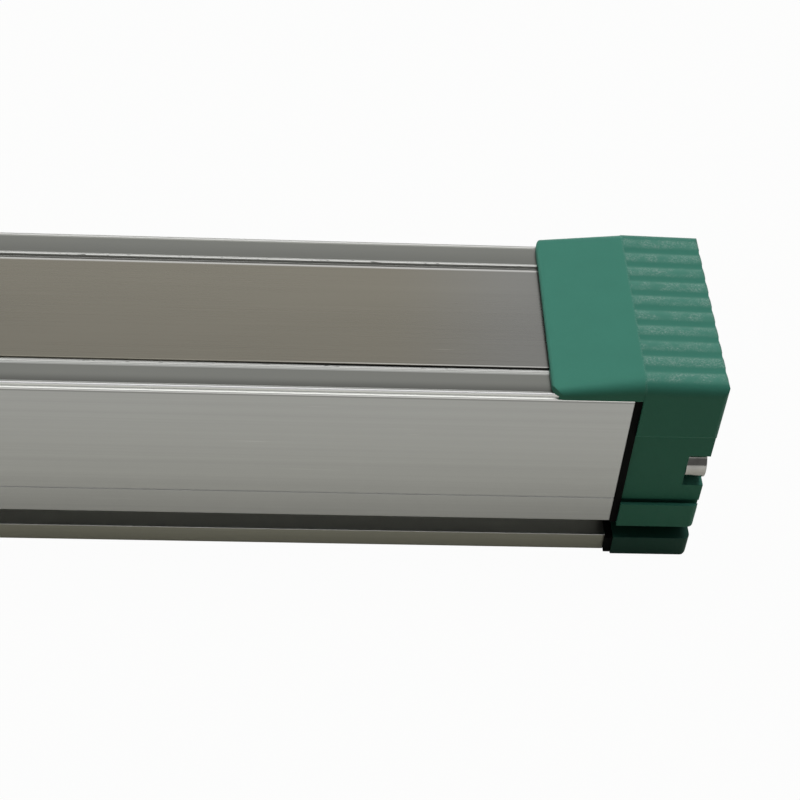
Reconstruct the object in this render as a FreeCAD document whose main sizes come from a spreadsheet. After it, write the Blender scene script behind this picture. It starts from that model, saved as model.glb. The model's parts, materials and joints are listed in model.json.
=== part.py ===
import FreeCAD, Part
import math
import os
import types

import Sketcher

# Slider-type linear position sensor. An aluminium extrusion carries two rails, a stainless cover
# band lies between them, and a slider on the rails moves a wiper inside through a slot under the
# band. Millimetres; +X runs along the extrusion, +Y across it, +Z up. The origin is at the middle
# of the extrusion's flat underside.

DIMENSIONS = (
    ("stroke", 150, "travel of the slider"),
    ("end_gap", 2, "room between the slider and a visor at each end of the stroke"),
    ("profile_width", 33, "extrusion, across its side faces"),
    ("profile_height", 34.4, "extrusion, underside to rail top"),
    ("foot_width", 32, "extrusion, across the foot"),
    ("foot_height", 3.3, "foot, underside to clamp slot"),
    ("clamp_slot_height", 4.15, "clamp slot, foot to side face"),
    ("clamp_slot_depth", 5, "clamp slot, in from the side face"),
    ("side_wall", 2, "chamber side wall"),
    ("chamber_floor_wall", 2, "wall between clamp slot level and chamber"),
    ("base_wall", 2.2, "wall under the lower hollow"),
    ("step_width", 0.35, "step along each rail's outer side, in from the side face"),
    ("step_drop", 0.7, "step along each rail's outer side, below the rail top"),
    ("step_round", 0.25, "outer edge of the step"),
    ("score_height", 12.65, "scribed line on the side face, above the underside"),
    ("score_depth", 0.12, "scribed line, depth"),
    ("rail_land", 0.3, "flat on either side of the running track"),
    ("rail_bevel", 0.15, "edges of each rail's top"),
    ("track_depth", 0.15, "running track in the rail top"),
    ("rail_width", 5.25, "rail beside the recess"),
    ("recess_depth", 0.5, "recess below the rail top"),
    ("lip_wall", 3.3, "recess floor, over the chamber"),
    ("magnet_margin", 0.65, "recess wall to magnet strip"),
    ("slot_margin", 1.6, "magnet strip to the driver slot in the recess floor"),
    ("magnet_width", 4, "magnet strip"),
    ("magnet_thickness", 1, "magnet strip"),
    ("port_inset", 2.9, "screw port, in from the side face"),
    ("port_height", 18.8, "screw port and cap screw, above the underside"),
    ("port_boss_width", 5.5, "boss around the screw port, in from the side face"),
    ("port_boss_height", 6.4, "boss around the screw port"),
    ("thread_play", 0.05, "radial room between a screw and its hole"),
    ("board_rise", 1.75, "chamber floor to board"),
    ("board_ledge", 2.1, "ledge under each edge of the board"),
    ("board_thickness", 1.6, "element board"),
    ("board_play", 0.1, "room around the board in its groove"),
    ("board_lip", 1, "lip over each edge of the board"),
    ("board_end_gap", 3, "board end to extrusion end"),
    ("band_thickness", 0.25, "cover band"),
    ("band_side_gap", 0.6, "cover band edge to recess wall"),
    ("band_end_gap", 2, "cover band end to extrusion end"),
    ("band_bend", 20, "inside radius of the band's bends in the slider"),
    ("band_ramp_angle", 25, "slope of the band over the driver arm, in degrees"),
    ("band_play", 0.2, "room between the band and the slider's parts"),
    ("gasket_thickness", 1.1, "between the extrusion and a cap"),
    ("gasket_inset", 0.2, "gasket edge inside the cap's outline"),
    ("cap_length", 12, "end cap, from gasket to end"),
    ("cap_overhang", 0.5, "upper band of the cap, beyond the extrusion's side face"),
    ("cap_waist", 0.35, "middle of the cap, inside the extrusion's side face"),
    ("cap_skirt", 0.6, "lower band of the cap, beyond the extrusion's side face"),
    ("cap_play", 0.1, "room between the visor's lip and the side face"),
    ("visor_length", 12, "visor over the end of the extrusion"),
    ("visor_edge_rise", 1.1, "visor's thin edge, above the rails"),
    ("ridge_rise", 3, "ridge between visor and ribs, above the rails"),
    ("rib_end_rise", 2.75, "ribbed top at the cap's end, above the rails"),
    ("visor_lip_drop", 0.4, "visor's lip, below the rail top"),
    ("top_round", 2, "long edges of the ribbed top"),
    ("visor_round", 1.1, "long edges of the visor, at its thin edge"),
    ("visor_edge_round", 0.6, "top of the visor's thin edge"),
    ("visor_relief", 0.45, "room under the visor over the recess, above the rails"),
    ("ridge_step", 0.1, "visor's side, inside the ribbed part's side"),
    ("visor_corner", 2.2, "upright corners at the visor's edge"),
    ("end_round", 0.8, "edge between the ribbed top and the end"),
    ("rib_depth", 0.26, "valley between two ribs, below their crests"),
    ("rib_back_margin", 1, "plain strip between the ribs and the cap's rounded back edge"),
    ("upper_band_height", 7.4, "upper band of the cap, below the rail top"),
    ("upper_band_chamfer", 1, "slope under the upper band"),
    ("cap_foot_height", 3.95, "cap's foot"),
    ("cap_slot_height", 2.95, "slot over the cap's foot"),
    ("cap_slot_depth", 4, "slot over the cap's foot"),
    ("cap_skirt_height", 5, "lower band of the cap"),
    ("cap_groove_height", 0.3, "gap between the lower band's rim and the waist"),
    ("cap_groove_depth", 0.45, "groove behind the rim, inside the waist"),
    ("cap_groove_drop", 1.2, "groove floor, below the rim"),
    ("cap_rim_width", 0.5, "rim of the lower band in front of the groove"),
    ("cap_lower_corner", 1.1, "upright corners at the end of the lower band"),
    ("foot_corner", 1, "outer corners of the cap's foot"),
    ("foot_round", 0.8, "lower edge at the end of the cap's foot"),
    ("notch_length", 3.2, "screw notch, in from the cap's end"),
    ("notch_height", 6.4, "screw notch"),
    ("notch_depth", 6.3, "screw notch, in from the upper band's side"),
    ("cap_end_wall", 2.8, "cap's end wall"),
    ("cap_port_wall", 2.25, "wall between a cap screw and the hollow inside the cap"),
    ("cap_screw_radius", 1.5, "cap screw shank"),
    ("cap_screw_head_radius", 2.75, "cap screw head"),
    ("cap_screw_head_height", 3, "cap screw head"),
    ("cap_screw_grip", 10, "cap screw, inside the extrusion"),
    ("cap_screw_key", 2.5, "hex socket of the cap screw, across its flats"),
    ("clamp_length", 7, "band clamp plate"),
    ("clamp_thickness", 0.55, "band clamp plate"),
    ("clamp_screw_inset", 2.85, "band clamp screw to the band's edge"),
    ("clamp_screw_radius", 1, "band clamp screw shank"),
    ("clamp_screw_head_radius", 1.9, "band clamp screw head"),
    ("clamp_screw_head_height", 0.3, "band clamp screw head"),
    ("track_width", 5, "resistive and collector track"),
    ("track_spacing", 9.8, "between the middles of the two tracks"),
    ("track_thickness", 0.15, "resistive and collector track"),
    ("track_overrun", 12, "track beyond the stroke at each end"),
    ("trace_width", 1.2, "silver trace on the board"),
    ("trace_thickness", 0.1, "silver trace on the board"),
    ("terminal_radius", 0.9, "board terminal"),
    ("terminal_height", 1, "board terminal"),
    ("terminal_inset", 8, "board terminals, from the extrusion's end"),
    ("lead_radius", 0.5, "inner lead"),
    ("lead_bend", 2, "inner lead, radius of its bend"),
    ("connector_height", 19.2, "connector axis above the underside"),
    ("connector_barrel_radius", 8, "threaded barrel of the connector"),
    ("connector_barrel_length", 8, "threaded barrel of the connector"),
    ("connector_flange_radius", 9.2, "connector flange"),
    ("connector_flange_thickness", 2, "connector flange"),
    ("connector_seal_thickness", 0.8, "flat seal under the flange"),
    ("connector_spot_depth", 0.4, "flat seat of the seal in the cap's end"),
    ("connector_neck_radius", 7.4, "connector neck through the cap wall"),
    ("connector_neck_length", 6, "connector neck past the cap wall's outside"),
    ("connector_bore_radius", 6.2, "inside of the connector shell"),
    ("connector_insert_length", 8, "insulating insert"),
    ("connector_nut_radius", 9.4, "ring nut behind the cap wall"),
    ("connector_nut_thickness", 2.4, "ring nut behind the cap wall"),
    ("pin_radius", 0.5, "connector pin"),
    ("pin_circle_radius", 3.5, "connector pins, radius of their circle"),
    ("pin_reach", 5, "connector pin in front of the insert"),
    ("pin_tail", 1.5, "connector pin behind the insert"),
    ("connector_play", 0.1, "radial room around the connector's parts"),
    ("slider_length", 62, "slider block"),
    ("slider_overhang", 0.5, "slider block, beyond the extrusion's side face"),
    ("slider_height", 13, "slider block"),
    ("slider_lift", 0.4, "slider block above the rails"),
    ("slider_round", 1.5, "long top edges of the slider block"),
    ("slider_bevel", 4, "sloping ends of the slider block"),
    ("pocket_length", 44, "hollow under the slider block"),
    ("pocket_roof", 2.6, "band's top to the hollow's roof"),
    ("pad_length", 11, "glide pad"),
    ("pad_seat", 2, "glide pad inside the slider block"),
    ("pad_play", 0.05, "glide pad above the running track"),
    ("pad_side_play", 0.2, "glide pad to the sides of the running track"),
    ("pad_end_margin", 2, "glide pad to the end of the slider block"),
    ("shoe_length", 4.5, "band shoe"),
    ("shoe_seat", 1.6, "band shoe inside the slider block"),
    ("shoe_end_margin", 1.5, "band shoe to the end of the slider block"),
    ("arm_length", 14, "driver arm's crossbar, along the travel"),
    ("arm_thickness", 2.5, "driver arm's crossbar"),
    ("arm_lift", 0.5, "driver arm's crossbar above the rails"),
    ("arm_end_margin", 1.6, "crossbar end to the slider block's side"),
    ("arm_play", 0.1, "room around the crossbar in its seat"),
    ("arm_round", 1, "crossbar edges under the band"),
    ("neck_length", 12, "driver neck in the slot, along the travel"),
    ("neck_play", 0.4, "driver neck to the slot's edge"),
    ("driver_screw_radius", 1.25, "driver screw shank"),
    ("driver_screw_head_radius", 2.25, "driver screw head"),
    ("driver_screw_head_height", 2.5, "driver screw head"),
    ("driver_screw_inset", 3.7, "driver screw to the slider block's side"),
    ("driver_screw_play", 0.1, "radial room around the driver screw's head in the slider block"),
    ("driver_screw_key", 2, "hex socket of the driver screw, across its flats"),
    ("inner_shoe_length", 32, "inner shoe under the slot's lips"),
    ("inner_shoe_inset", 1, "inner shoe, inside the carriage's side"),
    ("inner_shoe_thickness", 2.2, "inner shoe under the slot's lips"),
    ("inner_shoe_play", 0.2, "inner shoe below the slot's lips"),
    ("carriage_length", 28, "wiper carriage"),
    ("carriage_play", 1, "wiper carriage to the screw port's boss"),
    ("carriage_clearance", 3.6, "wiper carriage above the board"),
    ("carriage_screw_spacing", 6, "carriage screws"),
    ("carriage_screw_depth", 4, "carriage screw inside the wiper carriage"),
    ("brush_thickness", 0.2, "brush spring sheet"),
    ("brush_base_length", 8, "brush where it is fixed"),
    ("brush_reach", 9, "brush fingers"),
    ("brush_tip", 1.2, "upturned end of a brush finger"),
    ("brush_play", 0.05, "brush fingers above the track"),
    ("finger_width", 0.8, "brush finger"),
    ("finger_pitch", 1.2, "brush fingers, middle to middle"),
    ("stud_radius", 2.5, "coupling stud"),
    ("stud_seat_depth", 7, "coupling stud inside the slider block"),
    ("stud_hex", 8, "coupling stud's hexagon, across its flats"),
    ("stud_hex_height", 3, "coupling stud's hexagon"),
    ("stud_shoulder", 4, "coupling stud's taper between hexagon and ball"),
    ("stud_shoulder_radius", 3.2, "coupling stud under the ball"),
    ("ball_radius", 5.55, "swivel ball"),
    ("ball_width", 8, "swivel ball across its flats"),
    ("ball_play", 0.1, "radial room around the swivel ball"),
    ("bore_play", 0.06, "radial room between the stud and the ball"),
    ("swivel_play", 0.05, "room above and below the ball"),
    ("eye_radius", 8, "rod end's eye"),
    ("eye_width", 6, "rod end's eye"),
    ("shank_radius", 4.2, "rod end's socket for the coupling rod"),
    ("shank_length", 10, "rod end's shank, beyond the eye"),
    ("shank_waist_radius", 3.4, "rod end's shank, where it leaves the eye"),
    ("shank_socket_depth", 8, "coupling rod inside the shank"),
    ("coupling_rod_radius", 2.5, "coupling rod's free thread"),
    ("coupling_rod_relief", 0.2, "coupling rod under the lock nut, inside its thread's radius"),
    ("coupling_rod_reach", 11, "coupling rod beyond the lock nut"),
    ("washer_radius", 3.6, "coupling washer"),
    ("washer_thickness", 1, "coupling washer"),
    ("nut_flats", 8, "coupling nut and lock nut, across their flats"),
    ("nut_height", 4, "coupling nut and lock nut"),
    ("stud_end", 1, "coupling stud past its nut"),
)
VALLEYS = 9
FINGERS = 4
PIN_ANGLES = (-120, -60, 0, 60, 120)
WIRED_PIN_ANGLES = (-120, 0, 120)
# The rounding of the visor's edge ends this share of its radius above the visor's slope.
ROUNDING_LIFT = 1 / 30

doc = FreeCAD.newDocument("slide_potentiometer")
sheet = doc.addObject("Spreadsheet::Sheet", "Sheet")
for row, (alias, number, meaning) in enumerate(DIMENSIONS, start=1):
    sheet.set(f"A{row}", meaning)
    sheet.set(f"B{row}", str(number))
    sheet.setAlias(f"B{row}", alias)
doc.recompute()


class Size:
    """A length worked out from the sheet, kept as a number and as the expression that binds it."""

    def __init__(self, number, text):
        self.number = float(number)
        self.text = text

    def __add__(self, other):
        return Size(self.number + as_size(other).number, f"({self.text} + {as_size(other).text})")

    def __sub__(self, other):
        return Size(self.number - as_size(other).number, f"({self.text} - {as_size(other).text})")

    def __mul__(self, other):
        return Size(self.number * as_size(other).number, f"({self.text} * {as_size(other).text})")

    def __truediv__(self, other):
        return Size(self.number / as_size(other).number, f"({self.text} / {as_size(other).text})")

    def __neg__(self):
        return Size(-self.number, f"(-1 * {self.text})")

    def __radd__(self, other):
        return as_size(other) + self

    def __rsub__(self, other):
        return as_size(other) - self

    def __rmul__(self, other):
        return as_size(other) * self


def as_size(value):
    return value if isinstance(value, Size) else Size(value, repr(float(value)))


def cosine(angle):
    return Size(math.cos(math.radians(angle.number)), f"cos({angle.text})")


def sine(angle):
    return Size(math.sin(math.radians(angle.number)), f"sin({angle.text})")


d = types.SimpleNamespace(**{alias: Size(number, f"Sheet.{alias}") for alias, number, _ in DIMENSIONS})
ORIGIN = FreeCAD.Vector(0, 0, 0)
X_AXIS = FreeCAD.Vector(1, 0, 0)
Y_AXIS = FreeCAD.Vector(0, 1, 0)
Z_AXIS = FreeCAD.Vector(0, 0, 1)
AXES = {"x": X_AXIS, "y": Y_AXIS, "z": Z_AXIS}
# How a primitive that stands along Z is turned to lie along another axis.
STANDING = {
    "x": FreeCAD.Rotation(Y_AXIS, 90),
    "y": FreeCAD.Rotation(X_AXIS, -90),
    "z": FreeCAD.Rotation(),
}
# A sketch plane: how the flat sketch is turned, and the axis that it is moved and padded along.
PLANES = {
    "YZ": (FreeCAD.Rotation(FreeCAD.Vector(1, 1, 1), 120), "x"),
    "XZ": (FreeCAD.Rotation(X_AXIS, 90), "y"),
    "XY": (FreeCAD.Rotation(), "z"),
}


def bind(thing, **sizes):
    for name, size in sizes.items():
        thing.setExpression(name, as_size(size).text)


def place(thing, rotation=None, **coordinates):
    thing.Placement = FreeCAD.Placement(ORIGIN, rotation or FreeCAD.Rotation())
    for axis, size in coordinates.items():
        thing.setExpression(f"Placement.Base.{axis}", as_size(size).text)
    return thing


def box(x, y, z):
    """A block between two values along each axis."""
    block = doc.addObject("Part::Box", "block")
    bind(block, Length=x[1] - x[0], Width=y[1] - y[0], Height=z[1] - z[0])
    return place(block, x=x[0], y=y[0], z=z[0])


def across(half):
    return (-half, half)


def rod(axis, start, length, radius):
    """A cylinder that runs along an axis from its start point."""
    bar = doc.addObject("Part::Cylinder", "bar")
    bind(bar, Radius=radius, Height=length)
    return place(bar, STANDING[axis], x=start[0], y=start[1], z=start[2])


def taper(axis, start, length, first_radius, last_radius):
    cone = doc.addObject("Part::Cone", "taper")
    bind(cone, Radius1=first_radius, Radius2=last_radius, Height=length)
    return place(cone, STANDING[axis], x=start[0], y=start[1], z=start[2])


def hexagon(axis, start, length, flats):
    prism = doc.addObject("Part::Prism", "hexagon")
    prism.Polygon = 6
    bind(prism, Circumradius=flats / math.sqrt(3), Height=length)
    return place(prism, STANDING[axis], x=start[0], y=start[1], z=start[2])


def ball(centre, radius):
    sphere = doc.addObject("Part::Sphere", "ball")
    bind(sphere, Radius=radius)
    return place(sphere, x=centre[0], y=centre[1], z=centre[2])


def fuse(*shapes):
    joined = doc.addObject("Part::MultiFuse", "joined")
    joined.Shapes = list(shapes)
    joined.Refine = True
    return joined


def common(*shapes):
    shared = doc.addObject("Part::MultiCommon", "shared")
    shared.Shapes = list(shapes)
    shared.Refine = True
    return shared


def cut(base, *tools):
    rest = doc.addObject("Part::Cut", "cut")
    rest.Base = base
    rest.Tool = tools[0] if len(tools) == 1 else fuse(*tools)
    rest.Refine = True
    return rest


def group(*shapes):
    """Separate solids that share one sub-part."""
    solids = doc.addObject("Part::Compound", "solids")
    solids.Links = list(shapes)
    return solids


def mirror(source):
    """The same piece at the other end of the extrusion."""
    copy = doc.addObject("Part::Mirroring", "mirrored")
    copy.Source = source
    copy.Base = ORIGIN
    copy.Normal = X_AXIS
    return copy


def arc(start, end, radius):
    """A sketch arc; a positive radius turns left on the way from start to end, a negative one right."""
    chord = end - start
    left = FreeCAD.Vector(-chord.y, chord.x, 0).normalize()
    height = math.sqrt(max(radius * radius - chord.Length * chord.Length / 4, 0))
    centre = (start + end) * 0.5 + left * math.copysign(height, radius)
    first, last = (start, end) if radius > 0 else (end, start)
    angles = [math.atan2(point.y - centre.y, point.x - centre.x) for point in (first, last)]
    return Part.ArcOfCircle(Part.Circle(centre, Z_AXIS, abs(radius)), *angles)


def pin_point(sketch, geometry, vertex, point):
    """Binds one coordinate pair of a sketch to the sheet."""
    for kind, axis, size in (("DistanceX", -2, point[0]), ("DistanceY", -1, point[1])):
        size = as_size(size)
        if size.number == 0:
            sketch.addConstraint(Sketcher.Constraint("PointOnObject", geometry, vertex, axis))
            continue
        index = sketch.addConstraint(Sketcher.Constraint(kind, -1, 1, geometry, vertex, size.number))
        sketch.setExpression(f"Constraints[{index}]", size.text)


def pin_radius(sketch, geometry, size):
    index = sketch.addConstraint(Sketcher.Constraint("Radius", geometry, abs(as_size(size).number)))
    sketch.setExpression(f"Constraints[{index}]", f"abs({as_size(size).text})")


def draw(sketch, path, holes=()):
    """A closed outline of points; a third value is the radius of the arc that ends at the point."""
    corners = [FreeCAD.Vector(as_size(p[0]).number, as_size(p[1]).number, 0) for p in path]
    ends = []
    for index, point in enumerate(path):
        start, end = corners[index - 1], corners[index]
        if len(point) == 3:
            geometry = sketch.addGeometry(arc(start, end, as_size(point[2]).number))
            pin_radius(sketch, geometry, point[2])
            ends.append((geometry, 1, 2) if as_size(point[2]).number > 0 else (geometry, 2, 1))
        else:
            ends.append((sketch.addGeometry(Part.LineSegment(start, end)), 1, 2))
    for index, point in enumerate(path):
        geometry, _, last = ends[index]
        following, first, _ = ends[(index + 1) % len(ends)]
        sketch.addConstraint(Sketcher.Constraint("Coincident", geometry, last, following, first))
        pin_point(sketch, geometry, last, point)
    for y, z, radius in holes:
        centre = FreeCAD.Vector(as_size(y).number, as_size(z).number, 0)
        geometry = sketch.addGeometry(Part.Circle(centre, Z_AXIS, as_size(radius).number))
        pin_radius(sketch, geometry, radius)
        pin_point(sketch, geometry, 3, (y, z))


def flat(plane, at, path):
    """An outline drawn on a plane that stands at a given value along its own axis."""
    sketch = doc.addObject("Sketcher::SketchObject", "outline")
    rotation, axis = PLANES[plane]
    draw(sketch, path)
    return place(sketch, rotation, **{axis: at})


def prism(plane, span, path, rise=None):
    """An outline padded along its plane's axis from one value to another, with a rise in Z if given."""
    axis = PLANES[plane][1]
    pad = doc.addObject("Part::Extrusion", "prism")
    pad.Base = flat(plane, span[0], path)
    pad.DirMode = "Custom"
    pad.Solid = True
    length = as_size(span[1] - span[0])
    if rise is None:
        pad.Dir = AXES[axis]
        bind(pad, LengthFwd=length)
        return pad
    pad.setExpression("Dir.x", length.text)
    pad.setExpression("Dir.y", "0")
    pad.setExpression("Dir.z", rise.text)
    pad.setExpression("LengthFwd", f"sqrt(({length.text})^2 + ({rise.text})^2)")
    return pad


def extruded_body(name, path, holes, start, length):
    """One half of a section padded along X and mirrored to the other side."""
    body = doc.addObject("PartDesign::Body", name)
    planes = {feature.Role: feature for feature in body.Origin.OriginFeatures}
    sketch = body.newObject("Sketcher::SketchObject", f"{name}_section")
    sketch.AttachmentSupport = [(planes["YZ_Plane"], "")]
    sketch.MapMode = "FlatFace"
    sketch.setExpression("AttachmentOffset.Base.z", start.text)
    draw(sketch, path, holes)
    pad = body.newObject("PartDesign::Pad", f"{name}_pad")
    pad.Profile = sketch
    bind(pad, Length=length)
    doc.recompute()
    both = body.newObject("PartDesign::Mirrored", f"{name}_halves")
    both.Originals = [pad]
    both.MirrorPlane = (planes["XZ_Plane"], [""])
    body.Tip = both
    return body


SUB_PARTS = []


def sub_part(thing, name, **coordinates):
    """Names a finished piece, and puts it where it belongs if it was made about its own middle."""
    thing.Label = name
    if coordinates:
        place(thing, **coordinates)
    SUB_PARTS.append(thing)
    return thing


# Places that several pieces share.
profile_length = d.stroke + d.slider_length + 2 * (d.visor_length + d.end_gap)
profile_end = profile_length / 2
side = d.profile_width / 2
top = d.profile_height
clamp_slot_top = d.foot_height + d.clamp_slot_height
chamber_half = side - d.side_wall
chamber_floor = clamp_slot_top + d.chamber_floor_wall
recess_half = side - d.rail_width
recess_floor = top - d.recess_depth
lip_under = recess_floor - d.lip_wall
magnet_outer = recess_half - d.magnet_margin
magnet_inner = magnet_outer - d.magnet_width
slot_half = magnet_inner - d.slot_margin
rail_side = side - d.step_width
step_floor = top - d.step_drop
track_outer = rail_side - d.rail_bevel - d.rail_land
track_inner = recess_half + d.rail_bevel + d.rail_land
track_floor = top - d.track_depth
port_y = side - d.port_inset
port_boss_inner = side - d.port_boss_width
board_bottom = chamber_floor + d.board_rise
board_top = board_bottom + d.board_thickness
band_half = recess_half - d.band_side_gap
band_top = recess_floor + d.band_thickness
band_end = profile_end - d.band_end_gap
cap_start = profile_end + d.gasket_thickness
cap_end = cap_start + d.cap_length
cap_face = cap_end - d.connector_spot_depth
cap_half = side + d.cap_overhang
waist_half = side - d.cap_waist
skirt_half = side + d.cap_skirt
visor_edge = profile_end - d.visor_length
screw_hole_radius = d.cap_screw_radius + d.thread_play
cap_cavity_half = port_y - screw_hole_radius - d.cap_port_wall
slider_rest = d.end_gap + d.slider_length / 2 - visor_edge
slider_bottom = top + d.slider_lift
slider_top = slider_bottom + d.slider_height
slider_half = side + d.slider_overhang
clamp_middle = profile_end - d.band_end_gap - d.clamp_length / 2
clamp_screw_y = band_half - d.clamp_screw_inset
clamp_top = band_top + d.clamp_thickness
clamp_hole_radius = d.clamp_screw_radius + d.thread_play


def make_housing_extrusion():
    boss_top = d.port_height + d.port_boss_height / 2
    boss_bottom = d.port_height - d.port_boss_height / 2
    groove_top = board_top + d.board_play
    lip_inner = chamber_half - d.board_ledge + d.board_play
    ledge_inner = chamber_half - d.board_ledge
    hollow_half = side - d.clamp_slot_depth - d.side_wall
    clamp_wall = side - d.clamp_slot_depth
    outside = [
        (0, 0),
        (d.foot_width / 2, 0),
        (d.foot_width / 2, d.foot_height),
        (clamp_wall, d.foot_height),
        (clamp_wall, clamp_slot_top),
        (side, clamp_slot_top),
        (side, d.score_height - d.score_depth),
        (side - d.score_depth, d.score_height),
        (side, d.score_height + d.score_depth),
        (side, step_floor - d.step_round),
        (side - d.step_round, step_floor, d.step_round),
        (rail_side, step_floor),
        (rail_side, top - d.rail_bevel),
        (rail_side - d.rail_bevel, top),
    ]
    rail = [
        (track_outer, top),
        (track_outer - d.track_depth, track_floor),
        (track_inner + d.track_depth, track_floor),
        (track_inner, top),
        (recess_half + d.rail_bevel, top),
        (recess_half, top - d.rail_bevel),
        (recess_half, recess_floor),
    ]
    slotted_floor = [
        (magnet_outer, recess_floor),
        (magnet_outer, recess_floor - d.magnet_thickness),
        (magnet_inner, recess_floor - d.magnet_thickness),
        (magnet_inner, recess_floor),
        (slot_half, recess_floor),
        (slot_half, lip_under),
    ]
    chamber = [
        (chamber_half, lip_under),
        (chamber_half, boss_top),
        (port_boss_inner, boss_top),
        (port_boss_inner, boss_bottom),
        (chamber_half, boss_bottom),
        (chamber_half, groove_top + d.board_lip),
        (lip_inner, groove_top + d.board_lip),
        (lip_inner, groove_top),
        (chamber_half, groove_top),
        (chamber_half, board_bottom),
        (ledge_inner, board_bottom),
        (ledge_inner, chamber_floor),
        (0, chamber_floor),
    ]
    lower_hollow = [
        (0, clamp_slot_top),
        (hollow_half, clamp_slot_top),
        (hollow_half, d.base_wall),
        (0, d.base_wall),
    ]
    section = outside + rail + slotted_floor + chamber + lower_hollow
    ports = [(port_y, d.port_height, screw_hole_radius)]
    body = extruded_body("housing", section, ports, -profile_end, profile_length)
    sub_part(cut(body, *clamp_screw_holes()), "housing_extrusion")


CORNERS = ((1, 1), (1, -1), (-1, 1), (-1, -1))


def clamp_screw_bar(x, wing, radius):
    """The room of one band clamp screw, from the chamber's roof to the clamp plate's top."""
    return rod("z", (x, wing * clamp_screw_y, lip_under), clamp_top - lip_under, radius)


def clamp_screw_holes():
    return [clamp_screw_bar(end * clamp_middle, wing, clamp_hole_radius) for end, wing in CORNERS]


def make_magnet_strips():
    reach = across(clamp_middle - d.clamp_length)
    height = (recess_floor - d.magnet_thickness, recess_floor)
    sub_part(box(reach, (-magnet_outer, -magnet_inner), height), "front_magnet_strip")
    sub_part(box(reach, (magnet_inner, magnet_outer), height), "back_magnet_strip")


# The band's ramp: two arcs of equal turn lift it over the driver arm and set it down again.
ramp_span = 2 * d.band_bend + d.band_thickness
ramp_run = ramp_span * sine(d.band_ramp_angle)
ramp_rise = ramp_span * (1 - cosine(d.band_ramp_angle))
outer_bend = d.band_bend + d.band_thickness
plateau_half = d.arm_length / 2
hump_half = plateau_half + ramp_run


def make_cover_band():
    turn_sine = sine(d.band_ramp_angle)
    turn_drop = 1 - cosine(d.band_ramp_angle)
    low = recess_floor
    outer_step = outer_bend * turn_sine
    inner_step = d.band_bend * turn_sine
    underside = [
        (-band_end, low),
        (slider_rest - hump_half, low),
        (slider_rest - hump_half + outer_step, low + outer_bend * turn_drop, outer_bend),
        (slider_rest - plateau_half, low + ramp_rise, -d.band_bend),
        (slider_rest + plateau_half, low + ramp_rise),
        (slider_rest + hump_half - outer_step, low + outer_bend * turn_drop, -d.band_bend),
        (slider_rest + hump_half, low, outer_bend),
        (band_end, low),
    ]
    upper_side = [
        (band_end, band_top),
        (slider_rest + hump_half, band_top),
        (slider_rest + hump_half - inner_step, band_top + d.band_bend * turn_drop, -d.band_bend),
        (slider_rest + plateau_half, band_top + ramp_rise, outer_bend),
        (slider_rest - plateau_half, band_top + ramp_rise),
        (slider_rest - hump_half + inner_step, band_top + d.band_bend * turn_drop, outer_bend),
        (slider_rest - hump_half, band_top, -d.band_bend),
        (-band_end, band_top),
    ]
    strip = prism("XZ", across(band_half), underside + upper_side)
    sub_part(cut(strip, *clamp_screw_holes()), "cover_band")


def make_band_clamps():
    """Plates that hold the band's ends down under the visors, each with two flat-headed screws."""
    clamp_start = clamp_middle - d.clamp_length / 2
    plate = box((clamp_start, clamp_start + d.clamp_length), across(band_half), (band_top, clamp_top))
    head_bottom = clamp_top - d.clamp_screw_head_height
    seats = []
    screws = []
    for wing in (1, -1):
        y = wing * clamp_screw_y
        head_seat = d.clamp_screw_head_radius + d.thread_play
        seats.append(clamp_screw_bar(clamp_middle, wing, clamp_hole_radius))
        seats.append(rod("z", (clamp_middle, y, head_bottom), d.clamp_screw_head_height, head_seat))
        shank = clamp_screw_bar(clamp_middle, wing, d.clamp_screw_radius)
        head = rod("z", (clamp_middle, y, head_bottom), d.clamp_screw_head_height, d.clamp_screw_head_radius)
        screws.append(fuse(shank, head))
    right_plate = sub_part(cut(plate, *seats), "right_band_clamp")
    right_screws = sub_part(group(*screws), "right_clamp_screws")
    sub_part(mirror(right_plate), "left_band_clamp")
    sub_part(mirror(right_screws), "left_clamp_screws")


def rounded_top(height, half, rounding):
    """The visor's cross-section above its lip."""
    bottom = top - d.visor_lip_drop
    return [
        (-half, bottom),
        (half, bottom),
        (half, height - rounding),
        (half - rounding, height, rounding),
        (rounding - half, height),
        (-half, height - rounding, rounding),
    ]


# The ribs are a wave of equal arcs: the first crest is where the cap's front rounding ends.
first_crest = d.top_round - cap_half
rib_pitch = (-2 * first_crest - d.rib_back_margin) / VALLEYS
rib_radius = rib_pitch * rib_pitch / (16 * d.rib_depth) + d.rib_depth / 4
last_crest = first_crest + rib_pitch * VALLEYS


def wave():
    """Where the wave's arcs meet, from front to back, each with the arc that ends there."""
    quarters = [(first_crest + rib_pitch / 4, rib_radius)]
    for index in range(1, 2 * VALLEYS):
        bulge = -rib_radius if index % 2 else rib_radius
        quarters.append((first_crest + rib_pitch * (index / 2 + 0.25), bulge))
    return quarters


def ribbed_top(height):
    """The cap's cross-section above its lip, with the ribs along its top."""
    bottom = top - d.visor_lip_drop
    middle = height - d.rib_depth / 2
    start = [
        (-cap_half, bottom),
        (cap_half, bottom),
        (cap_half, height - d.top_round),
        (cap_half - d.top_round, height, d.top_round),
        (last_crest, height),
    ]
    places = [y for y, _ in wave()]
    bulges = [bulge for _, bulge in wave()]
    ribs = [(y, middle, bulge) for y, bulge in zip(reversed(places), bulges)]
    finish = [
        (first_crest, height, rib_radius),
        (-cap_half, height - d.top_round, d.top_round),
    ]
    return start + ribs + finish


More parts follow.
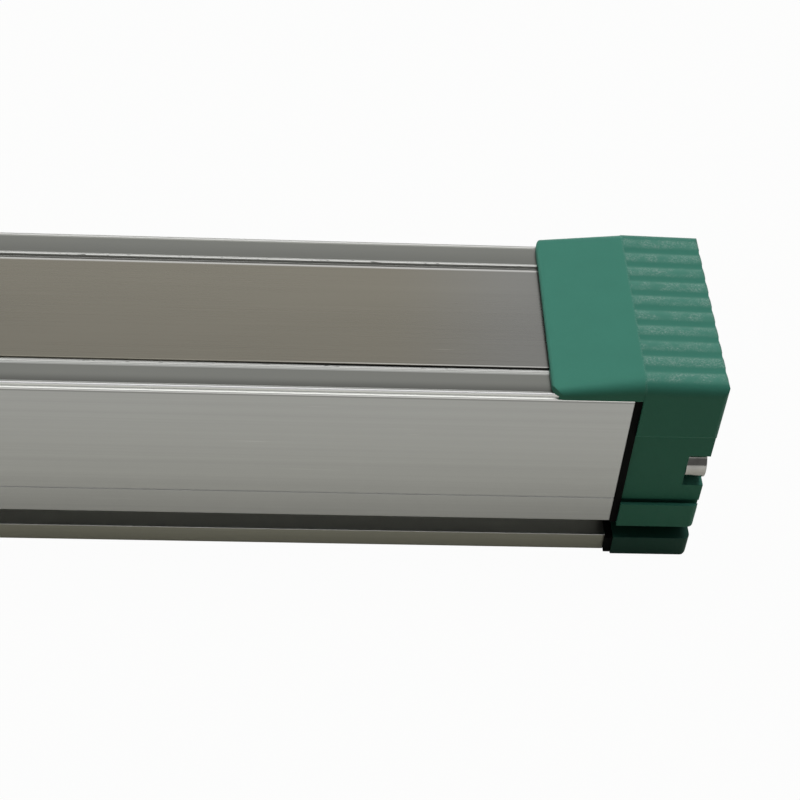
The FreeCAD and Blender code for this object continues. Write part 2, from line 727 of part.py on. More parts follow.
def ribbed_plan():
    """The cap's plan: rounded corners at the visor's edge, the ribs' ends as a wavy edge."""
    corner = d.visor_corner
    near = [
        (visor_edge, corner - cap_half),
        (visor_edge + corner, -cap_half, corner),
        (cap_end - d.end_round, -cap_half),
        (cap_end, d.end_round - cap_half, d.end_round),
        (cap_end, first_crest),
    ]
    ribs = [(cap_end - d.rib_depth / 2, y, bulge) for y, bulge in wave()]
    far = [
        (cap_end, last_crest, rib_radius),
        (cap_end, cap_half - d.end_round),
        (cap_end - d.end_round, cap_half, d.end_round),
        (visor_edge + corner, cap_half),
        (visor_edge, cap_half - corner, corner),
    ]
    return near + ribs + far


def make_cap_top():
    """Visor, ridge and ribbed top, down to the slope under the cap's upper band."""
    ridge = top + d.ridge_rise
    visor_half = cap_half - d.ridge_step
    thin_edge = top + d.visor_edge_rise
    visor = doc.addObject("Part::Loft", "visor")
    visor.Sections = [
        flat("YZ", visor_edge, rounded_top(thin_edge, visor_half, d.visor_round)),
        flat("YZ", cap_start, rounded_top(ridge, visor_half, d.top_round)),
    ]
    visor.Solid = True
    visor.Ruled = True
    ribs = prism("YZ", (cap_start, cap_end), ribbed_top(ridge), rise=d.rib_end_rise - d.ridge_rise)
    band_bottom = top - d.upper_band_height
    slope_bottom = band_bottom - d.upper_band_chamfer
    upper_band = prism(
        "YZ",
        (cap_start, cap_end),
        [
            (-waist_half, slope_bottom),
            (waist_half, slope_bottom),
            (cap_half, band_bottom),
            (cap_half, top),
            (-cap_half, top),
            (-cap_half, band_bottom),
        ],
    )
    plan = prism("XY", (slope_bottom, ridge + d.ridge_rise), ribbed_plan())
    end_top = top + d.rib_end_rise
    edge_round = d.visor_edge_round
    visor_slope = (d.ridge_rise - d.visor_edge_rise) / (cap_start - visor_edge)
    round_top = thin_edge + edge_round * (visor_slope + ROUNDING_LIFT)
    from_side = prism(
        "XZ",
        across(cap_half + d.cap_overhang),
        [
            (visor_edge, slope_bottom),
            (cap_end, slope_bottom),
            (cap_end, end_top - d.end_round),
            (cap_end - d.end_round, end_top, d.end_round),
            (cap_start, ridge + d.rib_depth),
            (visor_edge + edge_round, round_top),
            (visor_edge, round_top - edge_round, edge_round),
        ],
    )
    return common(fuse(visor, ribs, upper_band), plan, from_side)


def end_plan(corner, half):
    """A plan from the gasket to the cap's end, with rounded outer corners."""
    return [
        (cap_start, -half),
        (cap_end - corner, -half),
        (cap_end, corner - half, corner),
        (cap_end, half - corner),
        (cap_end - corner, half, corner),
        (cap_start, half),
    ]


def make_cap_lower():
    """The cap's waist, groove and lower band, from the gasket to the end."""
    slot_bottom = d.cap_foot_height
    slot_top = slot_bottom + d.cap_slot_height
    slot_inner = skirt_half - d.cap_slot_depth
    rim = slot_top + d.cap_skirt_height
    rim_inner = skirt_half - d.cap_rim_width
    groove_inner = waist_half - d.cap_groove_depth
    waist_bottom = rim + d.cap_groove_height
    waist_top = top - d.upper_band_height
    right = [
        (slot_inner, slot_bottom),
        (slot_inner, slot_top),
        (skirt_half, slot_top),
        (skirt_half, rim),
        (rim_inner, rim),
        (rim_inner, rim - d.cap_groove_drop),
        (groove_inner, rim - d.cap_groove_drop),
        (groove_inner, waist_bottom),
        (waist_half, waist_bottom),
        (waist_half, waist_top),
    ]
    left = [(-y, z) for y, z in reversed(right)]
    plan = prism("XY", (slot_bottom, waist_top), end_plan(d.cap_lower_corner, skirt_half))
    return common(prism("YZ", (cap_start, cap_end), right + left), plan)


def make_cap_foot():
    rounding = d.foot_round
    from_side = prism(
        "XZ",
        across(cap_half),
        [
            (cap_start, 0),
            (cap_end - rounding, 0),
            (cap_end, rounding, rounding),
            (cap_end, d.cap_foot_height),
            (cap_start, d.cap_foot_height),
        ],
    )
    plan = prism("XY", (as_size(0), d.cap_foot_height), end_plan(d.foot_corner, cap_half))
    return common(from_side, plan)


def make_end_caps():
    solid = fuse(make_cap_top(), make_cap_lower(), make_cap_foot())
    lip_room = side + d.cap_play
    before_visor = visor_edge - d.visor_corner
    over_extrusion = box((before_visor, cap_start), across(lip_room), (as_size(0), top))
    relief = box((before_visor, profile_end), across(recess_half), (top, top + d.visor_relief))
    wall_inside = cap_face - d.cap_end_wall
    cavity = box((cap_start, wall_inside), across(cap_cavity_half), (chamber_floor, lip_under))
    tools = [over_extrusion, relief, cavity]
    notch_start = cap_end - d.notch_length
    notch_height = (d.port_height - d.notch_height / 2, d.port_height + d.notch_height / 2)
    for wing in (1, -1):
        outer = wing * (cap_half + d.cap_overhang)
        inner = wing * (cap_half - d.notch_depth)
        reach = (inner, outer) if wing > 0 else (outer, inner)
        tools.append(box((notch_start, cap_end + d.rib_depth), reach, notch_height))
        tools.append(rod("x", (cap_start, wing * port_y, d.port_height), d.cap_length, screw_hole_radius))
    right_cap = sub_part(cut(solid, *tools), "right_end_cap")
    bore = rod("x", on_connector(-cap_end), d.cap_length, d.connector_neck_radius + d.connector_play)
    spot_radius = d.connector_flange_radius + d.connector_play
    spot_face = rod("x", on_connector(-cap_end), d.connector_spot_depth, spot_radius)
    nut_radius = d.connector_nut_radius + d.connector_play
    nut_room = rod("x", on_connector(-wall_inside), wall_inside - cap_start, nut_radius)
    sub_part(cut(mirror(right_cap), bore, spot_face, nut_room), "left_end_cap")


def make_gaskets():
    inset = d.gasket_inset
    slot_bottom = d.foot_height + inset
    slot_top = clamp_slot_top - inset
    slot_inner = skirt_half - d.cap_slot_depth
    window = cap_cavity_half
    section = [
        (0, inset),
        (cap_half - inset, inset),
        (cap_half - inset, slot_bottom),
        (slot_inner, slot_bottom),
        (slot_inner, slot_top),
        (side + inset / 2, slot_top),
        (side + inset / 2, top - d.visor_lip_drop),
        (side - inset, top - inset),
        (0, top - inset),
        (0, lip_under),
        (window, lip_under),
        (window, chamber_floor),
        (0, chamber_floor),
    ]
    ports = [(port_y, d.port_height, screw_hole_radius)]
    body = extruded_body("gasket", section, ports, profile_end, d.gasket_thickness)
    right_gasket = sub_part(body, "right_gasket")
    sub_part(mirror(right_gasket), "left_gasket")


def socket_screw(axis, head_bottom, shank_length, sizes):
    """A socket-head screw whose shank points back along its axis from the seat of its head."""
    shank_radius, head_radius, head_height, key = sizes
    along = "xyz".index(axis)
    shank_start = list(head_bottom)
    shank_start[along] = head_bottom[along] - shank_length
    key_start = list(head_bottom)
    key_start[along] = head_bottom[along] + head_height / 2
    head = rod(axis, head_bottom, head_height, head_radius)
    shank = rod(axis, shank_start, shank_length, shank_radius)
    return cut(fuse(head, shank), hexagon(axis, key_start, head_height, key))


def make_cap_screws():
    sizes = (d.cap_screw_radius, d.cap_screw_head_radius, d.cap_screw_head_height, d.cap_screw_key)
    head_bottom = cap_end - d.notch_length
    shank_length = head_bottom - profile_end + d.cap_screw_grip
    seats = [(head_bottom, wing * port_y, d.port_height) for wing in (1, -1)]
    screws = [socket_screw("x", seat, shank_length, sizes) for seat in seats]
    right_screws = sub_part(group(*screws), "right_cap_screws")
    sub_part(mirror(right_screws), "left_cap_screws")


def make_element_board():
    board_half = chamber_half - d.board_play
    length = across(profile_end - d.board_end_gap)
    sub_part(box(length, across(board_half), (board_bottom, board_top)), "element_board")
    track_end = d.stroke / 2 + d.track_overrun
    height = (board_top, board_top + d.track_thickness)
    for name, wing in (("resistive_track", 1), ("collector_track", -1)):
        middle = wing * d.track_spacing / 2
        spread = (middle - d.track_width / 2, middle + d.track_width / 2)
        sub_part(box(across(track_end), spread, height), name)


terminal_x = d.terminal_inset - profile_end
pin_y = d.pin_circle_radius * sine(as_size(WIRED_PIN_ANGLES[-1]))
terminal_places = (-pin_y, as_size(0), pin_y)


def make_board_wiring():
    """Silver traces and terminals: one to each track's near end, the middle one to the far end."""
    track_end = d.stroke / 2 + d.track_overrun
    far_end = track_end + d.trace_width
    half = d.trace_width / 2
    height = (board_top, board_top + d.trace_thickness)
    traces = []
    for y in (terminal_places[0], terminal_places[2]):
        traces.append(box((terminal_x - half, -track_end), (y - half, y + half), height))
    along = box((terminal_x - half, far_end), across(half), height)
    over = box((track_end, far_end), (as_size(0), d.track_spacing / 2), height)
    sub_part(group(*traces, fuse(along, over)), "silver_traces")
    base = board_top + d.trace_thickness
    posts = [rod("z", (terminal_x, y, base), d.terminal_height, d.terminal_radius) for y in terminal_places]
    sub_part(group(*posts), "board_terminals")


connector_outside = -cap_face - d.connector_seal_thickness
connector_front = connector_outside - d.connector_flange_thickness - d.connector_barrel_length
connector_back = d.connector_neck_length - cap_face
insert_front = connector_back - d.connector_insert_length
pin_back = connector_back + d.pin_tail


def on_connector(x):
    return (x, 0, d.connector_height)


def make_connector():
    flange_front = connector_outside - d.connector_flange_thickness
    neck_length = connector_back - connector_outside
    shell_length = connector_back - connector_front
    shell = fuse(
        rod("x", on_connector(connector_front), d.connector_barrel_length, d.connector_barrel_radius),
        rod("x", on_connector(flange_front), d.connector_flange_thickness, d.connector_flange_radius),
        rod("x", on_connector(connector_outside), neck_length, d.connector_neck_radius),
    )
    through = rod("x", on_connector(connector_front), shell_length, d.connector_bore_radius)
    sub_part(cut(shell, through), "connector_shell")
    neck_room = d.connector_neck_radius + d.thread_play
    seal = rod("x", on_connector(connector_outside), d.connector_seal_thickness, d.connector_flange_radius)
    seal_hole = rod("x", on_connector(connector_outside), d.connector_seal_thickness, neck_room)
    sub_part(cut(seal, seal_hole), "connector_seal")
    wall_inside = d.cap_end_wall - cap_face
    nut = rod("x", on_connector(wall_inside), d.connector_nut_thickness, d.connector_nut_radius)
    nut_hole = rod("x", on_connector(wall_inside), d.connector_nut_thickness, neck_room)
    sub_part(cut(nut, nut_hole), "connector_nut")
    plug_radius = d.connector_bore_radius - d.thread_play
    plug = rod("x", on_connector(insert_front), d.connector_insert_length, plug_radius)
    hole_radius = d.pin_radius + d.thread_play
    pin_front = insert_front - d.pin_reach
    holes = []
    pins = []
    for angle in PIN_ANGLES:
        y, z = pin_place(angle)
        holes.append(rod("x", (insert_front, y, z), d.connector_insert_length, hole_radius))
        pins.append(rod("x", (pin_front, y, z), pin_back - pin_front, d.pin_radius))
    sub_part(cut(plug, *holes), "connector_insert")
    sub_part(group(*pins), "connector_pins")


def pin_place(angle):
    turn = as_size(angle)
    return d.pin_circle_radius * sine(turn), d.connector_height + d.pin_circle_radius * cosine(turn)


def make_inner_leads():
    """Each lead runs straight back from a pin, turns down and ends on its terminal."""
    terminal_top = board_top + d.trace_thickness + d.terminal_height
    bend_x = terminal_x - d.lead_bend
    leads = []
    for angle, y in zip(WIRED_PIN_ANGLES, terminal_places):
        _, z = pin_place(angle)
        bend = doc.addObject("Part::Torus", "bend")
        bind(bend, Radius1=d.lead_bend, Radius2=d.lead_radius)
        bend.Angle3 = 90
        place(bend, PLANES["XZ"][0], x=bend_x, y=y, z=z - d.lead_bend)
        level = rod("x", (pin_back, y, z), bend_x - pin_back, d.lead_radius)
        drop = rod("z", (terminal_x, y, terminal_top), z - d.lead_bend - terminal_top, d.lead_radius)
        leads.append(fuse(level, bend, drop))
    sub_part(group(*leads), "inner_leads")


# The slider's pieces are drawn about the slider's own middle and then placed at its rest.
arm_bottom = top + d.arm_lift
arm_top = arm_bottom + d.arm_thickness
arm_half = slider_half - d.arm_end_margin
driver_screw_y = slider_half - d.driver_screw_inset
neck_half = slot_half - d.neck_play
inner_shoe_top = lip_under - d.inner_shoe_play
inner_shoe_bottom = inner_shoe_top - d.inner_shoe_thickness
carriage_bottom = board_top + d.carriage_clearance
carriage_half = port_boss_inner - d.carriage_play
driver_head_bottom = slider_top - d.driver_screw_head_height
carriage_head_bottom = arm_top - d.driver_screw_head_height
carriage_screw_tip = inner_shoe_bottom - d.carriage_screw_depth
pocket_top = band_top + ramp_rise + d.pocket_roof
pad_half_width = (track_outer - track_inner) / 2 - d.track_depth - d.pad_side_play
pad_y = (track_outer + track_inner) / 2


def pad_boxes(bottom):
    """The four glide pads from a given level up to the roof of their seats."""
    pad_middle = d.slider_length / 2 - d.pad_end_margin - d.pad_length / 2
    pads = []
    for end, wing in CORNERS:
        along = (end * pad_middle - d.pad_length / 2, end * pad_middle + d.pad_length / 2)
        reach = (wing * pad_y - pad_half_width, wing * pad_y + pad_half_width)
        pads.append(box(along, reach, (bottom, slider_bottom + d.pad_seat)))
    return pads


def shoe_boxes(bottom):
    """The two band shoes from a given level up to the roof of their seats."""
    shoe_middle = d.slider_length / 2 - d.shoe_end_margin - d.shoe_length / 2
    shoes = []
    for end in (1, -1):
        along = (end * shoe_middle - d.shoe_length / 2, end * shoe_middle + d.shoe_length / 2)
        shoes.append(box(along, across(band_half - d.band_play), (bottom, slider_bottom + d.shoe_seat)))
    return shoes


def make_slider_block():
    half_length = d.slider_length / 2
    from_side = prism(
        "XZ",
        across(slider_half),
        [
            (-half_length, slider_bottom),
            (half_length, slider_bottom),
            (half_length, slider_top - d.slider_bevel),
            (half_length - d.slider_bevel, slider_top),
            (d.slider_bevel - half_length, slider_top),
            (-half_length, slider_top - d.slider_bevel),
        ],
    )
    from_end = prism(
        "YZ",
        across(half_length),
        [
            (-slider_half, slider_bottom),
            (slider_half, slider_bottom),
            (slider_half, slider_top - d.slider_round),
            (slider_half - d.slider_round, slider_top, d.slider_round),
            (d.slider_round - slider_half, slider_top),
            (-slider_half, slider_top - d.slider_round, d.slider_round),
        ],
    )
    pocket_half = d.pocket_length / 2
    pocket = box(across(pocket_half), across(recess_half), (slider_bottom, pocket_top))
    seat_length = d.arm_length / 2 + d.arm_play
    arm_seat = box(across(seat_length), across(arm_half + d.arm_play), (slider_bottom, arm_top))
    stud_floor = slider_top - d.stud_seat_depth
    tools = [pocket, arm_seat]
    tools.append(rod("z", (0, 0, stud_floor), d.stud_seat_depth, d.stud_radius + d.thread_play))
    for wing in (1, -1):
        y = wing * driver_screw_y
        tools.append(rod("z", (0, y, slider_bottom), d.slider_height, d.driver_screw_radius + d.thread_play))
        head_room = d.driver_screw_head_radius + d.driver_screw_play
        tools.append(rod("z", (0, y, driver_head_bottom), d.driver_screw_head_height, head_room))
    tools += pad_boxes(slider_bottom) + shoe_boxes(slider_bottom)
    sub_part(cut(common(from_side, from_end), *tools), "slider_block", x=slider_rest)


def make_slider_runners():
    sub_part(group(*pad_boxes(track_floor + d.pad_play)), "glide_pads", x=slider_rest)
    sub_part(group(*shoe_boxes(band_top + d.band_play)), "band_shoes", x=slider_rest)


def make_driver_arm():
    """A crossbar seated in the slider's side walls, with a neck down through the slot."""
    bar_half = d.arm_length / 2
    crossbar = prism(
        "XZ",
        across(arm_half),
        [
            (-bar_half, arm_bottom),
            (bar_half, arm_bottom),
            (bar_half, arm_top - d.arm_round),
            (bar_half - d.arm_round, arm_top, d.arm_round),
            (d.arm_round - bar_half, arm_top),
            (-bar_half, arm_top - d.arm_round, d.arm_round),
        ],
    )
    neck = box(across(d.neck_length / 2), across(neck_half), (inner_shoe_top, arm_bottom))
    tools = carriage_screw_holes()
    head_room = d.driver_screw_head_radius + d.thread_play
    hole_radius = d.driver_screw_radius + d.thread_play
    for side_or_end in (1, -1):
        x = side_or_end * d.carriage_screw_spacing / 2
        y = side_or_end * driver_screw_y
        tools.append(rod("z", (x, 0, carriage_head_bottom), d.driver_screw_head_height, head_room))
        tools.append(rod("z", (0, y, arm_bottom), d.arm_thickness, hole_radius))
    sub_part(cut(fuse(crossbar, neck), *tools), "driver_arm", x=slider_rest)


def carriage_screw_holes():
    """Holes for the two screws that hold the inner shoe and the carriage to the driver arm."""
    radius = d.driver_screw_radius + d.thread_play
    places = [end * d.carriage_screw_spacing / 2 for end in (1, -1)]
    return [rod("z", (x, 0, carriage_screw_tip), arm_top - carriage_screw_tip, radius) for x in places]


def make_slider_screws():
    head = (d.driver_screw_head_radius, d.driver_screw_head_height)
    sizes = (d.driver_screw_radius, *head, d.driver_screw_key)
    shank_length = driver_head_bottom - arm_bottom
    seats = [(0, wing * driver_screw_y, driver_head_bottom) for wing in (1, -1)]
    screws = [socket_screw("z", seat, shank_length, sizes) for seat in seats]
    sub_part(group(*screws), "driver_screws", x=slider_rest)
    long_shank = carriage_head_bottom - carriage_screw_tip
    seats = [(end * d.carriage_screw_spacing / 2, 0, carriage_head_bottom) for end in (1, -1)]
    long_screws = [socket_screw("z", seat, long_shank, sizes) for seat in seats]
    sub_part(group(*long_screws), "carriage_screws", x=slider_rest)


def make_wiper():
    """Inner shoe under the slot's lips, and below it the carriage that holds the two brushes."""
    shoe_height = (inner_shoe_bottom, inner_shoe_top)
    shoe = box(across(d.inner_shoe_length / 2), across(carriage_half - d.inner_shoe_inset), shoe_height)
    sub_part(cut(shoe, *carriage_screw_holes()), "inner_shoe", x=slider_rest)
    carriage_height = (carriage_bottom, inner_shoe_bottom)
    carriage = box(across(d.carriage_length / 2), across(carriage_half), carriage_height)
    sub_part(cut(carriage, *carriage_screw_holes()), "wiper_carriage", x=slider_rest)
    for name, wing in (("resistive_brush", 1), ("collector_brush", -1)):
        sub_part(brush(wing * d.track_spacing / 2), name, x=slider_rest)


def brush(middle):
    """A spring sheet with a row of fingers that slope down to the track and turn up at their tips."""
    sheet_bottom = carriage_bottom - d.brush_thickness
    contact = board_top + d.track_thickness + d.brush_play
    bend = d.brush_base_length / 2
    touch = bend + d.brush_reach
    tip = touch + d.brush_tip
    tip_rise = d.brush_tip / 2
    outline = [
        (bend, sheet_bottom),
        (touch, contact),
        (tip, contact + tip_rise),
        (tip, contact + tip_rise + d.brush_thickness),
        (touch, contact + d.brush_thickness),
        (bend, carriage_bottom),
    ]
    row_half = d.finger_pitch * (FINGERS - 1) / 2
    base_half = row_half + d.finger_width / 2
    pieces = [
        box((-bend, bend), (middle - base_half, middle + base_half), (sheet_bottom, carriage_bottom))
    ]
    for index in range(FINGERS):
        start = middle - base_half + d.finger_pitch * index
        pieces.append(prism("XZ", (start, start + d.finger_width), outline))
    return fuse(*pieces)


stud_hex_top = slider_top + d.stud_hex_height
shoulder_top = stud_hex_top + d.stud_shoulder
ball_bottom = shoulder_top + d.swivel_play
ball_centre_z = ball_bottom + d.ball_width / 2
washer_bottom = ball_bottom + d.ball_width + d.swivel_play
nut_bottom = washer_bottom + d.washer_thickness
stud_top = nut_bottom + d.nut_height + d.stud_end


def make_coupling():
    """The stud on the slider, with the washer and nut that keep the swivel ball on it."""
    stud_floor = slider_top - d.stud_seat_depth
    stud = fuse(
        rod("z", (0, 0, stud_floor), stud_top - stud_floor, d.stud_radius),
        hexagon("z", (0, 0, slider_top), d.stud_hex_height, d.stud_hex),
        taper("z", (0, 0, stud_hex_top), d.stud_shoulder, d.stud_hex / 2, d.stud_shoulder_radius),
    )
    sub_part(stud, "coupling_stud", x=slider_rest)
    hole_radius = d.stud_radius + d.thread_play
    washer = rod("z", (0, 0, washer_bottom), d.washer_thickness, d.washer_radius)
    washer_hole = rod("z", (0, 0, washer_bottom), d.washer_thickness, hole_radius)
    sub_part(cut(washer, washer_hole), "coupling_washer", x=slider_rest)
    nut = hexagon("z", (0, 0, nut_bottom), d.nut_height, d.nut_flats)
    nut_hole = rod("z", (0, 0, nut_bottom), d.nut_height, hole_radius)
    sub_part(cut(nut, nut_hole), "coupling_nut", x=slider_rest)


def make_swivel():
    centre = (0, 0, ball_centre_z)
    slab = box(across(d.ball_radius), across(d.ball_radius), (ball_bottom, ball_bottom + d.ball_width))
    bore = rod("z", (0, 0, ball_bottom), d.ball_width, d.stud_radius + d.bore_play)
    sub_part(cut(common(ball(centre, d.ball_radius), slab), bore), "swivel_ball", x=slider_rest)


def make_rod_end():
    """An eye around the swivel ball, with a socketed shank that points away from the blank end."""
    eye_bottom = ball_centre_z - d.eye_width / 2
    mouth = -d.eye_radius - d.shank_length
    eye = rod("z", (0, 0, eye_bottom), d.eye_width, d.eye_radius)
    into_eye = d.eye_radius / 4
    waist_start = -d.eye_radius - d.shank_length / 3
    socket_part = rod("x", (mouth, 0, ball_centre_z), waist_start - mouth, d.shank_radius)
    waist_length = into_eye - d.eye_radius - waist_start
    waist = taper("x", (waist_start, 0, ball_centre_z), waist_length, d.shank_radius, d.shank_waist_radius)
    room = ball((0, 0, ball_centre_z), d.ball_radius + d.ball_play)
    covered_radius = d.coupling_rod_radius - d.coupling_rod_relief
    hole_radius = covered_radius + d.thread_play
    socket = rod("x", (mouth, 0, ball_centre_z), d.shank_socket_depth, hole_radius)
    sub_part(cut(fuse(eye, socket_part, waist), room, socket), "rod_end", x=slider_rest)
    nut_start = mouth - d.nut_height
    lock_nut = hexagon("x", (nut_start, 0, ball_centre_z), d.nut_height, d.nut_flats)
    lock_hole = rod("x", (nut_start, 0, ball_centre_z), d.nut_height, hole_radius)
    sub_part(cut(lock_nut, lock_hole), "lock_nut", x=slider_rest)
    covered_length = d.nut_height + d.shank_socket_depth
    covered = rod("x", (nut_start, 0, ball_centre_z), covered_length, covered_radius)
    free_start = nut_start - d.coupling_rod_reach
    free = rod("x", (free_start, 0, ball_centre_z), d.coupling_rod_reach, d.coupling_rod_radius)
    sub_part(fuse(covered, free), "coupling_rod", x=slider_rest)


make_housing_extrusion()
make_magnet_strips()
make_cover_band()
make_band_clamps()
make_end_caps()
make_gaskets()
make_cap_screws()
make_element_board()
make_board_wiring()
make_connector()
make_inner_leads()
make_slider_block()
make_slider_runners()
make_driver_arm()
make_slider_screws()
make_wiper()
make_coupling()
make_swivel()
make_rod_end()
doc.recompute()

for thing in doc.Objects:
    if {"Invalid", "Error"} & set(thing.State):
        raise RuntimeError(f"{thing.Name} ({thing.Label}) did not build: {thing.State}")
for thing in SUB_PARTS:
    if thing.Shape.isNull() or not thing.Shape.isValid() or not thing.Shape.Solids:
        raise RuntimeError(f"{thing.Label} is not a sound solid")

os.makedirs("parts", exist_ok=True)
for thing in SUB_PARTS:
    thing.Shape.exportStep(f"parts/{thing.Label}.step")
    print(thing.Label, len(thing.Shape.Solids), round(thing.Shape.Volume, 2))
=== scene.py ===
"""Finishes and studio for a slider-type linear position sensor."""

import json
import math
from typing import NamedTuple

import bmesh
import bpy
from mathutils import Matrix, Vector


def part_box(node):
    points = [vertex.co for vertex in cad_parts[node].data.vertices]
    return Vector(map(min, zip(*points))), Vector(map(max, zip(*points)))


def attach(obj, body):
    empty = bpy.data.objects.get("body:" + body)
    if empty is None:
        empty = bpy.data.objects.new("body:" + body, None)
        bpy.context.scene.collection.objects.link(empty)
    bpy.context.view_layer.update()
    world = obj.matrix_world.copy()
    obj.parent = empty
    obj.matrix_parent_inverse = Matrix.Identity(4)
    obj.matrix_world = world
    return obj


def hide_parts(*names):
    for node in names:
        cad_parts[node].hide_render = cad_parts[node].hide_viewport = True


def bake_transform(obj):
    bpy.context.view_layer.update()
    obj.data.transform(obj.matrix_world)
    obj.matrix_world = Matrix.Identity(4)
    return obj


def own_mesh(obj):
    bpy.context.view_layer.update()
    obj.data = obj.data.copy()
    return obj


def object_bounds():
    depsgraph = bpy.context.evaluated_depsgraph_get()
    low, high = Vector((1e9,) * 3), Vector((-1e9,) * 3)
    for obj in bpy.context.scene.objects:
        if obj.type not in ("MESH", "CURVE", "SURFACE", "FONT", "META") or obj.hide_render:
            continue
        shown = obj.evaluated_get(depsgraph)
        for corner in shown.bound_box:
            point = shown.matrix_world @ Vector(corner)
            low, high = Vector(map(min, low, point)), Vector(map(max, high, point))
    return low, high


bl_info = {
    "name": "Linear position sensor",
    "version": (1, 0, 0),
    "blender": (4, 5, 0),
    "location": "3D View > Sidebar > Sensor",
    "description": "Gives a linear position sensor its finishes, cover band, threads and studio",
    "category": "Object",
}

MM = 0.001
HAIR = 0.1 * MM
BLACK = (0, 0, 0)
WHITE = (1, 1, 1)

# Most of a noise lies between these two values.
NOISE_SPAN = (0.3, 0.7)

# Thread form: depth as a share of the pitch, and the flats as a share of half a pitch.
THREAD_DEPTH = 0.6
THREAD_FLAT = 1 / 7
RINGS_PER_PITCH = 8

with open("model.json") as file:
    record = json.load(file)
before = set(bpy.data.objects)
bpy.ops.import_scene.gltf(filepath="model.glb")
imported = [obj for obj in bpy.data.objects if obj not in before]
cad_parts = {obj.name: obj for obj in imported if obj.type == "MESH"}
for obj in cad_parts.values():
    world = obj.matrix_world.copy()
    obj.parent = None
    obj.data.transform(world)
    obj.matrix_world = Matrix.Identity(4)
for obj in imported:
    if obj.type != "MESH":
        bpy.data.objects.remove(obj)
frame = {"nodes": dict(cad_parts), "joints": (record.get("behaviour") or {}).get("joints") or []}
CAD_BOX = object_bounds()
TRAVEL = next(joint for joint in frame["joints"] if joint["name"] == "slider_travel")


def middle(node):
    """The middle of a CAD node's box."""
    low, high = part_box(node)
    return (low + high) / 2


def colour(name, text, default):
    return bpy.props.FloatVectorProperty(
        name=name, description=text, subtype="COLOR", size=3, min=0, max=1, default=default
    )


def length(name, text, default):
    return bpy.props.FloatProperty(
        name=name, description=text, unit="LENGTH", min=0, precision=5, default=default
    )


def share(name, text, default):
    return bpy.props.FloatProperty(
        name=name, description=text, subtype="FACTOR", min=0, max=1, default=default
    )


def power(name, text, default):
    return bpy.props.FloatProperty(name=name, description=text, unit="POWER", min=0, default=default)


def angle(name, text, default):
    return bpy.props.FloatProperty(
        name=name, description=text, subtype="ANGLE", default=math.radians(default)
    )


class SensorColours(bpy.types.PropertyGroup):
    """Colours of the finishes."""

    anodised: colour("Anodised aluminium", "Extrusion", (0.367, 0.371, 0.361))
    # Painted shade over the extrusion's foot, for the dim floor that it mirrors.
    foot_painted_shade: colour("Foot tone", "Shade over the extrusion's foot", (0.86, 0.84, 0.72))
    track_grey: colour("Running track", "Tracks on which the slider runs", (0.248, 0.252, 0.232))
    # Painted highlight and painted light: lands, slot walls, recess walls and rail steps.
    painted_light_grey: colour("Bright land", "Rubbed lands beside the tracks", (0.60, 0.605, 0.58))
    # Painted shade on the recess's back wall, behind the cover band.
    slit_wall_shade: colour("Slit wall", "Recess wall behind the cover band", (0.36, 0.36, 0.34))
    shaded_gap: colour("Shaded gap", "Gap in front of the cover band", (0.08, 0.08, 0.075))
    grime: colour("Grime", "Specks along the rim of the recess", (0.05, 0.05, 0.045))
    stainless: colour("Stainless strip", "Cover band and its clamps", (0.292, 0.274, 0.226))
    bright_edge: colour("Bright band edge", "Band edges that catch the light", (0.86, 0.86, 0.83))
    dark_edge: colour("Dark band edge", "Shaded front edge of the band", (0.09, 0.09, 0.08))
    moulding: colour("Green moulding", "End caps", (0.049, 0.210, 0.154))
    # Pale dusty wear with a painted sheen on the crests of the ribs.
    rib_dust_and_sheen: colour("Rib wear", "Pale wear on the crests of the ribs", (0.60, 0.66, 0.63))
    rubber: colour("Rubber", "Gaskets and seal", (0.003, 0.003, 0.003))
    zinc: colour("Zinc-plated steel", "Screws and coupling", (0.50, 0.49, 0.46))
    polished: colour("Polished steel", "Swivel ball", (0.62, 0.62, 0.60))
    nickel: colour("Nickel plate", "Connector shell and ring nut", (0.56, 0.53, 0.46))
    gold: colour("Gold plate", "Pins, terminals and brushes", (0.80, 0.56, 0.20))
    slider: colour("Black anodising", "Slider block", (0.022, 0.022, 0.024))
    acetal: colour("Acetal", "Glide pads, shoes and wiper carriage", (0.74, 0.72, 0.66))
    insulator: colour("Insulator", "Connector insert", (0.016, 0.016, 0.017))
    magnet: colour("Magnet strip", "Strips in the recess floor", (0.045, 0.032, 0.024))
    laminate: colour("Laminate", "Element board", (0.05, 0.09, 0.035))
    track: colour("Conductive plastic", "Resistive and collector track", (0.014, 0.014, 0.015))
    silver_ink: colour("Silver ink", "Traces", (0.62, 0.61, 0.58))
    sheath: colour("Lead sheath", "Inner leads", (0.30, 0.05, 0.04))


